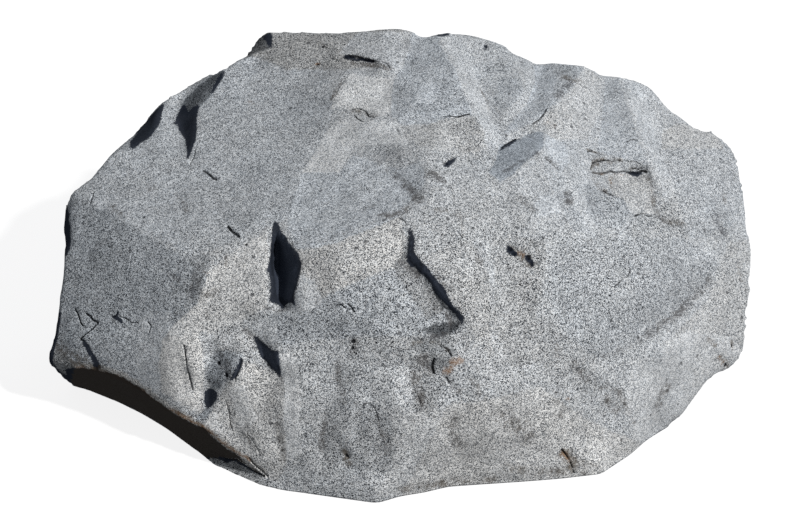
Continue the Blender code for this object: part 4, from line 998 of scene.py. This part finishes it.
class Bench:
    """A node tree being put together."""

    def __init__(self, tree):
        self.tree = tree

    def add(self, kind, settings=None, sockets=None, out=0):
        """Adds one node: its type, its settings, then the values or links of its sockets."""
        node = self.tree.nodes.new(kind)
        for name, value in (settings or {}).items():
            if name == "stops":
                self._set_stops(node.color_ramp, value)
            else:
                setattr(node, name, value)
        for name, value in (sockets or {}).items():
            self._fill(node.inputs[name], value)
        return Field(self, node.outputs[out]) if len(node.outputs) else node

    def _fill(self, socket, value):
        if isinstance(value, Field):
            self.tree.links.new(value.socket, socket)
        elif socket.type == "VECTOR" and isinstance(value, (int, float)):
            socket.default_value = (value, value, value)
        else:
            socket.default_value = value

    def _set_stops(self, ramp, stops):
        while len(ramp.elements) > 1:
            ramp.elements.remove(ramp.elements[-1])
        for number, (place, colour) in enumerate(stops):
            element = ramp.elements[0] if number == 0 else ramp.elements.new(place)
            element.position = place
            element.color = (*colour, 1.0)

    def mix(self, factor, first, second):
        """One colour laid over another."""
        return self.add("ShaderNodeMix", {"data_type": "RGBA"}, {0: factor, 6: first, 7: second}, out=2)

    def noise(self, place, scale, detail=2.0, roughness=0.5, seed=0.0):
        """Soft noise about zero, from -0.5 to 0.5."""
        return self._noise(place, scale, detail, roughness, seed, 0) - 0.5

    def wander(self, place, scale, detail=2.0, seed=0.0):
        """A vector that wanders about zero, from -0.5 to 0.5 along each axis."""
        return self._noise(place, scale, detail, 0.5, seed, "Color") - (0.5, 0.5, 0.5)

    def _noise(self, place, scale, detail, roughness, seed, out):
        return self.add(
            "ShaderNodeTexNoise",
            {"noise_dimensions": "4D"},
            {"Vector": place, "W": seed, "Scale": scale, "Detail": detail, "Roughness": roughness},
            out=out,
        )

    def cells(self, place, scale, out):
        """Cells around scattered middles: the distance to the nearest middle, or a colour for each cell."""
        return self.add("ShaderNodeTexVoronoi", {"feature": "F1"}, {"Vector": place, "Scale": scale}, out=out)

    def named(self, label):
        """What is stored under a name on each corner of a mesh."""
        return self.add("GeometryNodeInputNamedAttribute", {"data_type": "FLOAT"}, {"Name": label})

    def blurred(self, value, passes, data_type="FLOAT_VECTOR"):
        """A value evened out between neighbouring corners of the skin."""
        return self.add(
            "GeometryNodeBlurAttribute", {"data_type": data_type}, {"Value": value, "Iterations": passes}
        )

    def shape_of(self, thing):
        """The mesh of an object."""
        return self.add("GeometryNodeObjectInfo", None, {"Object": thing}, out="Geometry")

    def meets(self, target, start, direction, reach):
        """Whether a line that starts at a place meets the target within its reach."""
        line = {"Source Position": start, "Ray Direction": direction, "Ray Length": reach}
        return self.add("GeometryNodeRaycast", None, {"Target Geometry": target, **line}, out="Is Hit")


def geometry_tree(name, inputs):
    """A Geometry Nodes tree with named inputs. Gives its bench, and a field for the stone and each input."""
    tree = bpy.data.node_groups.new(name, "GeometryNodeTree")
    tree.interface.new_socket("Stone", in_out="INPUT", socket_type="NodeSocketGeometry")
    for label, value in inputs.items():
        socket = tree.interface.new_socket(label, in_out="INPUT", socket_type=SOCKET_KINDS[type(value)])
        if isinstance(value, (float, int)):
            socket.default_value = value
    tree.interface.new_socket("Stone", in_out="OUTPUT", socket_type="NodeSocketGeometry")
    node = tree.nodes.new("NodeGroupInput")
    bench = Bench(tree)
    fields = {label: Field(bench, node.outputs[label]) for label in ["Stone", *inputs]}
    return bench, fields


def end_tree(bench, shape, finish):
    """The end of each tree: plain faces, in their finish."""
    shape = bench.add("GeometryNodeRealizeInstances", None, {"Geometry": shape})
    shape = bench.add("GeometryNodeSetMaterial", None, {"Geometry": shape, "Material": finish})
    bench.add("NodeGroupOutput", None, {"Stone": shape})


def run_tree(stone, bench, values):
    """Puts the tree on the stone, sets its inputs and turns the result into a plain mesh."""
    modifier = stone.modifiers.new(bench.tree.name, "NODES")
    modifier.node_group = bench.tree
    for item in bench.tree.interface.items_tree:
        if item.in_out == "INPUT" and item.name in values:
            modifier[item.identifier] = values[item.name]
    make_plain(stone)


def make_plain(stone):
    """Turns the object and its modifiers into a plain mesh."""
    graph = bpy.context.evaluated_depsgraph_get()
    mesh = bpy.data.meshes.new_from_object(
        stone.evaluated_get(graph), preserve_all_data_layers=True, depsgraph=graph
    )
    stone.modifiers.clear()
    stone.data = mesh


@contextmanager
def opened(mesh):
    """A mesh opened up for editing. It takes the changes when it is closed."""
    shell = bmesh.new()
    shell.from_mesh(mesh)
    yield shell
    shell.to_mesh(mesh)
    shell.free()


def new_object(name, data):
    """A new object in the scene, with its mesh, light or camera."""
    made = bpy.data.objects.new(name, data)
    bpy.context.scene.collection.objects.link(made)
    return made


def merged_copy(node):
    """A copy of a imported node, with its loose triangles joined into one skin."""
    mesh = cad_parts[node].data.copy()
    with opened(mesh) as shell:
        bmesh.ops.remove_doubles(shell, verts=shell.verts, dist=MERGE_REACH)
    mesh.materials.clear()
    return new_object("weathered_boulder", mesh)


def even_skin(stone):
    """Gives the stone an even skin of small faces, which runs on below the ground for the foot's cut."""
    with opened(stone.data) as shell:
        foot = [face for face in shell.faces if all(abs(vertex.co.z) < FOOT_SLACK for vertex in face.verts)]
        spare = bmesh.ops.extrude_face_region(shell, geom=foot)["geom"]
        lowered = [item for item in spare if isinstance(item, bmesh.types.BMVert)]
        bmesh.ops.translate(shell, verts=lowered, vec=(0.0, 0.0, -FOOT_SPARE))
    remesh = stone.modifiers.new("even skin", "REMESH")
    remesh.mode = "VOXEL"
    remesh.voxel_size = SKIN_CELL
    make_plain(stone)


def soften(stone, finish):
    """Wears the sharp breaks down a little."""
    inputs = {"Passes": SOFTEN_PASSES, "Finish": finish}
    bench, field = geometry_tree("worn breaks", inputs)
    worn = bench.blurred(bench.add("GeometryNodeInputPosition"), field["Passes"])
    moved = bench.add("GeometryNodeSetPosition", None, {"Geometry": field["Stone"], "Position": worn})
    end_tree(bench, moved, field["Finish"])
    run_tree(stone, bench, inputs)


def cut_foot(stone):
    """Cuts the flat foot, as one face."""
    with opened(stone.data) as shell:
        everything = [*shell.verts, *shell.edges, *shell.faces]
        bmesh.ops.bisect_plane(
            shell, geom=everything, plane_co=(0.0, 0.0, 0.0), plane_no=(0.0, 0.0, 1.0), clear_inner=True
        )
        rim = [vertex for vertex in shell.verts if vertex.is_boundary]
        bmesh.ops.remove_doubles(shell, verts=rim, dist=FOOT_SNAP)
        bmesh.ops.edgeloop_fill(shell, edges=[edge for edge in shell.edges if edge.is_boundary])
        bmesh.ops.recalc_face_normals(shell, faces=shell.faces)


def sight_tree(stone):
    """The stone's skin, ready for lines of sight to be carried onto it."""
    shell = bmesh.new()
    shell.from_mesh(stone.data)
    tree = BVHTree.FromBMesh(shell)
    shell.free()
    return tree


def onto_stone(tree, across, up):
    """Where a line of sight through the board meets the stone, or None."""
    start = eye()
    return tree.ray_cast(start, board_spot(across, up) - start)[0]


def carried_line(tree, line, longest):
    """A line on the board, carried onto the stone in short steps."""
    places = []
    for (across, up), (next_across, next_up) in zip(line, line[1:]):
        run, rise = next_across - across, next_up - up
        steps = max(1, math.ceil(math.hypot(run, rise) / longest))
        for step in range(steps):
            part = step / steps
            places.append(onto_stone(tree, across + run * part, up + rise * part))
    places.append(onto_stone(tree, *line[-1]))
    return [place for place in places if place is not None]


def store(mesh, label, values):
    """Stores a value on each corner of a mesh."""
    mesh.attributes.new(label, "FLOAT", "POINT").data.foreach_set("value", values)


def marks_object(name, tree, marks):
    """Lines or single points on the stone as one mesh of edges, with their half widths and depths."""
    corners, edges, widths, depths = [], [], [], []
    for half_width, depth, line in marks.values():
        line = line if isinstance(line, list) else [line]
        places = carried_line(tree, line, GROOVE_STEP)
        first = len(corners)
        corners.extend(places)
        edges.extend((corner, corner + 1) for corner in range(first, len(corners) - 1))
        widths.extend([half_width] * len(places))
        depths.extend([depth] * len(places))
    mesh = bpy.data.meshes.new(name)
    mesh.from_pydata(corners, edges, [])
    store(mesh, "half_width", widths)
    store(mesh, "depth", depths)
    return new_object(name, mesh)


def sheets_object(name, outlines, step=0.0, values=None):
    """Outlines laid out flat as faces, the later ones on top, with the values of each."""
    corners, faces = [], []
    for level, outline in enumerate(outlines):
        first = len(corners)
        corners.extend((across, up, level * step) for across, up in outline)
        faces.append(range(first, len(corners)))
    mesh = bpy.data.meshes.new(name)
    mesh.from_pydata(corners, [], faces)
    for label, each in (values or {}).items():
        store(mesh, label, [value for value, outline in zip(each, outlines) for _ in outline])
    return new_object(name, mesh)


def paint(stone, tree, label, strokes, part):
    """Stores how strongly the strokes, by one part of their rows, cover each corner of the skin."""
    corners = stone.data.vertices
    spots = KDTree(len(corners))
    for corner in corners:
        spots.insert(corner.co, corner.index)
    spots.balance()
    cover = [0.0] * len(corners)
    for stroke in strokes.values():
        reach, line, strength = stroke[0], stroke[-1], stroke[part]
        for place in carried_line(tree, line, STROKE_STEP):
            for _, index, away in spots.find_range(place, reach):
                value = strength * (1.0 - away / reach)
                if abs(value) > abs(cover[index]):
                    cover[index] = value
    store(stone.data, label, cover)


def cut_finer(stone, marks, reaches):
    """Cuts the skin finer beside the marks, so that what is narrow or sharp keeps its shape."""
    places = [vertex.co for mark in marks for vertex in mark.data.vertices]
    spots = KDTree(len(places))
    for number, place in enumerate(places):
        spots.insert(place, number)
    spots.balance()
    with opened(stone.data) as shell:
        for reach in reaches:
            near = {vertex for vertex in shell.verts if spots.find(vertex.co)[2] < reach}
            edges = [edge for edge in shell.edges if edge.verts[0] in near and edge.verts[1] in near]
            bmesh.ops.subdivide_edges(shell, edges=edges, cuts=1, use_grid_fill=True)


def groove(bench, place, thing):
    """How deep, and how much, the nearest line or point of a marks object cuts in at a place."""
    points = bench.shape_of(thing)
    nearest = bench.add(
        "GeometryNodeSampleNearest", {"domain": "POINT"}, {"Geometry": points, "Sample Position": place}
    )

    def at_nearest(value, data_type):
        return bench.add(
            "GeometryNodeSampleIndex",
            {"data_type": data_type, "domain": "POINT"},
            {"Geometry": points, "Value": value, "Index": nearest},
        )

    spot = at_nearest(bench.add("GeometryNodeInputPosition"), "FLOAT_VECTOR")
    half_width = at_nearest(bench.named("half_width"), "FLOAT")
    depth = at_nearest(bench.named("depth"), "FLOAT")
    away = (place - spot).length() / half_width
    walls, darkening = CRACK_SPREAD
    return away.ramp(0.0, walls, 1.0, 0.0) * depth, away.ramp(0.0, darkening, 1.0, 0.0)


def broken_faces(bench, field, place, strayed, turned):
    """How far broad waves, flakes and hackle push each place out."""
    seed = field["Seed"]
    waves = bench.noise(place, scale=1.0 / field["Wave Length"], detail=1.0, seed=seed)
    waves = waves * field["Wave Height"] * 2.0

    # flakes: each cell of the stone is broken off on a plane of its own
    settings = {"voronoi_dimensions": "4D", "feature": "SMOOTH_F1"}
    flake = {"Vector": strayed, "Scale": 1.0 / field["Flake Size"], "W": seed, "Smoothness": FLAKE_BLEND}
    middle = bench.add("ShaderNodeTexVoronoi", settings, flake, out="Position")
    lean = bench.add("ShaderNodeTexVoronoi", settings, flake, out="Color") - (0.5, 0.5, 0.5)
    flaked = (strayed - middle).dot(lean) * field["Flake Tilt"]

    # hackle: the small rough steps of a fresh break, stronger in some places
    where = bench.noise(place, scale=5.0, seed=seed + 2.0).ramp(*HACKLE_PLACES)
    steps = bench.noise(place, scale=1.0 / field["Hackle Size"], detail=4.0, roughness=0.62, seed=seed + 3.0)
    hackle = steps * field["Hackle Height"] * 2.0
    return waves + flaked + hackle * where * turned.ramp(*HACKLE_TURN)


def laid_flat(bench, spot, height):
    """A spot on the board, moved to a height over the flat sheets, and how far across and up it is."""
    across, _, up = spot.parts()
    up = (up - BOARD_HEIGHT) / math.cos(BOARD_LEAN)
    return bench.add("ShaderNodeCombineXYZ", None, {"X": across, "Y": up, "Z": height}), across, up


def face_tone(bench, field, label, spot, strayed, front):
    """One tone of each face: set out on the board for the front and the top, where it is partly painted light
    and shade, by chance for the back.
    """
    found = bench.add(
        "GeometryNodeRaycast",
        {"data_type": "FLOAT", "mapping": "NEAREST"},
        {
            "Target Geometry": bench.shape_of(field["Patches"]),
            "Attribute": bench.named(label),
            "Source Position": spot,
            "Ray Direction": DOWN,
            "Ray Length": 2.0 * ABOVE_PATCHES,
        },
        out="Attribute",
    )
    part, strength = BACK_TONES[label]
    chance = (bench.cells(strayed, BACK_TONE_SCALE, "Color").parts()[part] - 0.5) * strength
    return found * front + chance * (1.0 - front)


def depth_inside(bench, field, spot, seen):
    """How far inside the outline of a deep place each place is, or, below zero, how far outside."""
    outlines = bench.shape_of(field["Deeps"])
    nearest = {0: outlines, "Source Position": spot}
    rim_away = bench.add("GeometryNodeProximity", {"target_element": "EDGES"}, nearest, out="Distance")
    inside = bench.meets(outlines, spot + (0.0, 0.0, 1.0), DOWN, 2.0)
    return (rim_away.low(DEEP_REACH) * (inside * 2.0 - 1.0)) * seen - (1.0 - seen) * DEEP_REACH


def sheltered(bench, field, place, facing):
    """How much of what is around each place the stone itself hides, for the painted shade of sheltered
    places.
    """
    hidden = 0.0
    for direction in SKY:
        blocked = bench.meets(field["Stone"], place + facing.times(SHELTER_GAP), direction, SHELTER_REACH)
        hidden = hidden + blocked * facing.dot(direction).high(0.0)
    return bench.blurred(hidden, SHELTER_PASSES, "FLOAT")


def weather(stone, cracks, pits, patches, deeps, finish):
    """Breaks the stone's plain faces up, cuts its marks in, and stores what the finish reads."""
    inputs = {
        "Swell": SWELL,
        "Wave Height": WAVE_HEIGHT,
        "Wave Length": WAVE_LENGTH,
        "Flake Size": FLAKE_SIZE,
        "Flake Tilt": FLAKE_TILT,
        "Hackle Height": HACKLE_HEIGHT,
        "Hackle Size": HACKLE_SIZE,
        "Crack Wander": CRACK_WANDER,
        "Stain Depth": STAIN_DEPTH,
        "Break Height": BREAK_HEIGHT,
        "Break Size": BREAK_SIZE,
        "Seed": STONE_SEED,
        "Cracks": cracks,
        "Pits": pits,
        "Patches": patches,
        "Deeps": deeps,
        "Finish": finish,
    }
    bench, field = geometry_tree("weathering", inputs)
    seed = field["Seed"]
    place = bench.add("GeometryNodeInputPosition")
    facing = bench.add("GeometryNodeInputNormal")
    outwards = bench.blurred(facing, OUTWARD_PASSES).unit()
    flake_stray = bench.wander(place, scale=14.0, detail=3.0, seed=seed + 1.0)
    strayed = place + flake_stray.times(field["Flake Size"] * FLAKE_STRAY)

    # how each place is turned: -1 squarely towards the eye, 1 squarely away from it
    sight = place - tuple(eye())
    turned = facing.dot(sight) / sight.length()

    # the relief, with its cracks, pits, hollows under the stains and painted shade, and fresh breaks; the
    # foot stays flat
    crack_stray = bench.wander(place, scale=180.0, detail=4.0, seed=seed + 4.0)
    wandered = place + crack_stray.times(field["Crack Wander"])
    crack_cut, cracked = groove(bench, wandered, field["Cracks"])
    pit_cut, pitted = groove(bench, wandered, field["Pits"])
    broken = bench.noise(place, scale=1.0 / field["Break Size"], detail=3.0, roughness=0.6, seed=seed + 5.0)
    broken = broken * field["Break Height"] * 2.0 * bench.named("rough")
    relief = field["Swell"] + broken_faces(bench, field, place, strayed, turned) + broken
    relief = relief - crack_cut - pit_cut - bench.named("stain") * field["Stain Depth"]
    relief = relief * place.parts()[2].ramp(*FOOT_RELIEF)
    offset = {"Geometry": field["Stone"], "Offset": outwards.times(relief)}
    shape = bench.add("GeometryNodeSetPosition", None, offset)

    # the tones of each face, partly painted light and shade, and the film that lies on the top and at the
    # ends
    front = turned.ramp(*FRONT_TURN)
    on_board = sight.times(-EYE_DISTANCE / sight.dot(board_normal())) + tuple(eye())
    patch_stray = bench.wander(place, scale=60.0, detail=3.0, seed=seed + 6.0).times(PATCH_WANDER)
    spot, across, up = laid_flat(bench, on_board + patch_stray, ABOVE_PATCHES)
    ends = across.ramp(*FILM_LEFT).high(across.ramp(*FILM_RIGHT))
    film = up.ramp(*FILM_TOP).high(ends) + across.ramp(*FILM_MIDDLE) * FILM_MIDDLE_STRENGTH

    # the painted shade of the deep places, on faces that the eye sees
    deep_stray = bench.wander(place, scale=70.0, detail=3.0, seed=seed + 8.0).times(DEEP_WANDER)
    deep_spot = laid_flat(bench, on_board + deep_stray, 0.0)[0]
    deep = depth_inside(bench, field, deep_spot, turned.ramp(*SEEN_TURN))

    for label, value in (
        ("crack", cracked.high(pitted)),
        ("hollow", (bench.blurred(place, HOLLOW_PASSES) - place).dot(facing) / HOLLOW_SCALE),
        ("shelter", sheltered(bench, field, place, facing)),
        ("deep", deep),
        ("lightness", face_tone(bench, field, "lightness", spot, strayed, front)),
        ("warmth", face_tone(bench, field, "warmth", spot, strayed, front)),
        ("film", film),
    ):
        shape = bench.add(
            "GeometryNodeStoreNamedAttribute",
            {"data_type": "FLOAT", "domain": "POINT"},
            {"Geometry": shape, "Name": label, "Value": value},
        )

    # smooth all over, but for the foot
    level = facing.parts()[2]
    above_foot = bench.add("ShaderNodeMath", {"operation": "GREATER_THAN"}, {0: level, 1: FOOT_FACING})
    smooth = {"Geometry": shape, "Selection": True, "Shade Smooth": above_foot}
    shape = bench.add("GeometryNodeSetShadeSmooth", None, smooth)
    end_tree(bench, shape, field["Finish"])
    run_tree(stone, bench, inputs)


def stored(bench, label):
    """What the weathering stored on the skin under a name."""
    return bench.add("ShaderNodeAttribute", {"attribute_name": label}, None, out="Fac")


def crystals(bench, place, kind):
    """Crystals of each mineral, in loose clusters."""
    clusters = bench.noise(place, scale=45.0, detail=3.0, roughness=0.6, seed=2.0) * CLUSTER
    return bench.add("ShaderNodeValToRGB", {"stops": GRAINS}, {"Fac": kind + clusters}, out="Color")


def face_tones(bench, place, shade, coat):
    """The film of weather over the crystals, then the lightness and warmth of each face, partly painted light
    and shade, with a mottle.
    """
    lightness, warmth = stored(bench, "lightness"), stored(bench, "warmth")
    drifts = bench.noise(place, scale=6.0, detail=4.0, roughness=0.55, seed=5.0).ramp(-0.15, 0.2)
    film = stored(bench, "film") * FILM_STRENGTH + lightness * FILM_ON_PALE
    film = film + warmth.ramp(-0.4, -0.9) * FILM_ON_COOL + drifts * FILM_DRIFTS
    coat = bench.mix(film, coat, FILM_GREY)
    mottle = bench.noise(place, scale=16.0, detail=5.0, roughness=0.72, seed=6.0) * MOTTLE
    speckle = bench.noise(place, scale=80.0, seed=7.0) * SPECKLE
    warmth = warmth + bench.noise(place, scale=9.0, detail=3.0, seed=9.0) * WARMTH_MOTTLE
    warmth = warmth + (shade - 0.5) * CRYSTAL_WARMTH
    tint = bench.mix(warmth.ramp(-1.0, 1.0), COOL_TINT, WARM_TINT)
    return (coat * tint).times(2.0 ** (lightness + mottle + speckle))


def covered(bench, coat, name, amount, colour):
    """The coat with a covering over it, as strong as its amount at each place makes it."""
    begins, whole, strength = COVERINGS[name]
    return bench.mix(amount.ramp(begins, whole) * strength, coat, colour)


def mica_clots(bench, place, coat):
    """Scattered dark clots of mica, each of its own size."""
    size = bench.cells(place, CLOT_SCALE, "Color").colour_parts()[0] * CLOT_SIZE
    edge = bench.noise(place, scale=400.0, seed=11.0) * CLOT_WANDER
    away = bench.cells(place, CLOT_SCALE, "Distance") + edge
    return covered(bench, coat, "clot", size - away, CLOT_GREY)


def dirt_and_painted_shade(bench, place, speck, coat):
    """Darkening in hollows, then stains, rust, and painted shade in sheltered places, cracks, pits and deep
    places, ragged at their edges. Many of the stains are painted shade as well.
    """
    ragged = bench.noise(place, scale=110.0, detail=3.0, roughness=0.65, seed=10.0) + (speck - 0.5) * 0.30
    patchy = bench.noise(place, scale=38.0, seed=12.0)
    coat = covered(bench, coat, "hollow", stored(bench, "hollow"), HOLLOW_DARKENING)

    # the stain strokes and their warmth; many of them are painted shade beside notches, crevices and pits
    stain = stored(bench, "stain")
    stain_colour = bench.mix(stored(bench, "stain_warmth").ramp(-0.8, 0.8), COOL_STAIN_AND_SHADE, BROWN_STAIN_AND_SHADE)
    stained_and_shaded = stain * 1.1 + (ragged * 1.4 + patchy) * stain.ramp(*RAGGED_FROM)
    coat = covered(bench, coat, "stain", stained_and_shaded, stain_colour)

    rust = stored(bench, "rust")
    rusted = rust + (ragged + patchy) * rust.ramp(*RAGGED_FROM)
    coat = covered(bench, coat, "rust", rusted, RUST_BROWN)

    # painted shade in sheltered places
    coat = covered(bench, coat, "shelter", stored(bench, "shelter"), SHELTER_SHADE)
    # painted shade, near black, in the cracks and pits that are also cut in
    cracked = stored(bench, "crack") * 2.0 + ragged * 0.9 + patchy * 0.7
    coat = covered(bench, coat, "crack", cracked, CRACK_BLACK)

    # the painted shade of deep places is lighter where a patch inside them is
    painted_shade = bench.mix(stored(bench, "warmth").ramp(0.4, 0.8), COOL_PAINTED_SHADE, WARM_PAINTED_SHADE)
    painted_shade = painted_shade.times(stored(bench, "lightness").high(0.0) * 2.0 + 1.0)
    deep = stored(bench, "deep") + (ragged + patchy * 0.5) * DEEP_RAGGED
    return covered(bench, coat, "deep", deep, painted_shade)


def granite():
    """Grey granite: pale feldspar, grey quartz and dark mica, under a thin blue-grey film."""
    material = bpy.data.materials.new("granite")
    material.use_nodes = True
    material.node_tree.nodes.clear()
    bench = Bench(material.node_tree)
    place = bench.add("ShaderNodeTexCoord", out="Object")
    kind, shade, speck = bench.cells(place, 1.0 / CRYSTAL, "Color").colour_parts()
    coat = crystals(bench, place, kind)
    coat = face_tones(bench, place, shade, coat)
    coat = mica_clots(bench, place, coat)
    coat = dirt_and_painted_shade(bench, place, speck, coat)
    relief = bench.noise(place, scale=260.0, detail=3.0, roughness=0.6, seed=8.0) + shade * 0.35
    grain = {"Strength": 1.0, "Distance": GRAIN_RELIEF, "Height": relief}
    shader = bench.add(
        "ShaderNodeBsdfPrincipled",
        None,
        {
            "Base Color": coat,
            "Roughness": ROUGHNESS,
            "Specular IOR Level": 0.0,
            "Normal": bench.add("ShaderNodeBump", None, grain, out="Normal"),
        },
    )
    bench.add("ShaderNodeOutputMaterial", None, {"Surface": shader})
    return material


def pale_floor():
    """A pale floor that sweeps up far behind the stone."""
    material = bpy.data.materials.new("pale_floor")
    material.use_nodes = True
    material.cycles.emission_sampling = "NONE"
    shader = material.node_tree.nodes["Principled BSDF"]
    shader.inputs["Base Color"].default_value = FLOOR_GREY
    shader.inputs["Roughness"].default_value = 1.0
    shader.inputs["Specular IOR Level"].default_value = 0.0
    shader.inputs["Emission Color"].default_value = (1.0, 1.0, 1.0, 1.0)
    shader.inputs["Emission Strength"].default_value = FLOOR_GLOW
    mesh = bpy.data.meshes.new("floor")
    turns = [math.tau * side / FLOOR_SIDES for side in range(FLOOR_SIDES)]
    with opened(mesh) as shell:
        inner = [shell.verts.new((0.0, 0.0, FLOOR_LEVEL))] * FLOOR_SIDES
        for radius, height in FLOOR_RINGS:
            around = [(radius * math.cos(turn), radius * math.sin(turn), height) for turn in turns]
            outer = [shell.verts.new(place) for place in around]
            for side in range(FLOOR_SIDES):
                after = (side + 1) % FLOOR_SIDES
                corners = (inner[side], outer[side], outer[after], inner[after])
                shell.faces.new(list(dict.fromkeys(corners))).smooth = True
            inner = outer
    mesh.materials.append(material)
    floor = new_object("floor", mesh)
    floor.visible_diffuse = False
    floor.visible_shadow = False
    floor.visible_glossy = False


def studio_light():
    """Soft light from a high sun in front, a broad sun behind, and pale surroundings."""
    for name, (source, strength, width, colour) in SUNS.items():
        light = bpy.data.lights.new(name, "SUN")
        light.energy = strength
        light.angle = math.radians(width)
        light.color = colour
        new_object(name, light).rotation_euler = Vector(source).to_track_quat("Z", "Y").to_euler()
    world = bpy.data.worlds.new("studio")
    bpy.context.scene.world = world
    world.use_nodes = True
    background = world.node_tree.nodes["Background"]
    background.inputs["Color"].default_value = FILL_COLOUR
    background.inputs["Strength"].default_value = FILL_STRENGTH
    bpy.context.scene.view_settings.view_transform = "Standard"
    bpy.context.scene.cycles.use_denoising = False  # it would smear the fine grain of the stone


def camera():
    """A camera at the eye, aimed at the board's middle."""
    data = bpy.data.cameras.new("camera")
    data.sensor_width = CAMERA_SENSOR
    data.lens = CAMERA_LENS
    made = new_object("camera", data)
    made.location = eye()
    aim = Vector((0.0, 0.0, BOARD_HEIGHT)) - eye()
    made.rotation_euler = aim.to_track_quat("-Z", "Y").to_euler()
    bpy.context.scene.camera = made


camera()
pale_floor()
studio_light()
finish = granite()
stone = merged_copy("boulder")
even_skin(stone)
soften(stone, finish)
cut_foot(stone)
sight = sight_tree(stone)
cracks = marks_object("crack lines", sight, CRACKS)
pits = marks_object("pit places", sight, PITS)
lighter, warmer, outlines = zip(*PATCHES.values())
patches = sheets_object("patches", outlines, PATCH_STEP, {"lightness": lighter, "warmth": warmer})
deeps = sheets_object("deep places", DEEPS.values())
rims = {name: (0.0, 0.0, [*PATCHES[name][2], PATCHES[name][2][0]]) for name in PLAIN_FACETS}
facet_edges = marks_object("facet edges", sight, rims)
cut_finer(stone, [cracks, pits], FINE_REACHES)
cut_finer(stone, [facet_edges], EDGE_REACHES)
paint(stone, sight, "stain", STAINS_AND_SHADE, STRENGTH)
paint(stone, sight, "stain_warmth", STAINS_AND_SHADE, WARMTH)
paint(stone, sight, "rust", RUST, STRENGTH)
paint(stone, sight, "rough", BREAKS, STRENGTH)
weather(stone, cracks, pits, patches, deeps, finish)
for marks in (cracks, pits, patches, deeps, facet_edges):
    bpy.data.objects.remove(marks)
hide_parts("boulder")
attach(stone, "root")
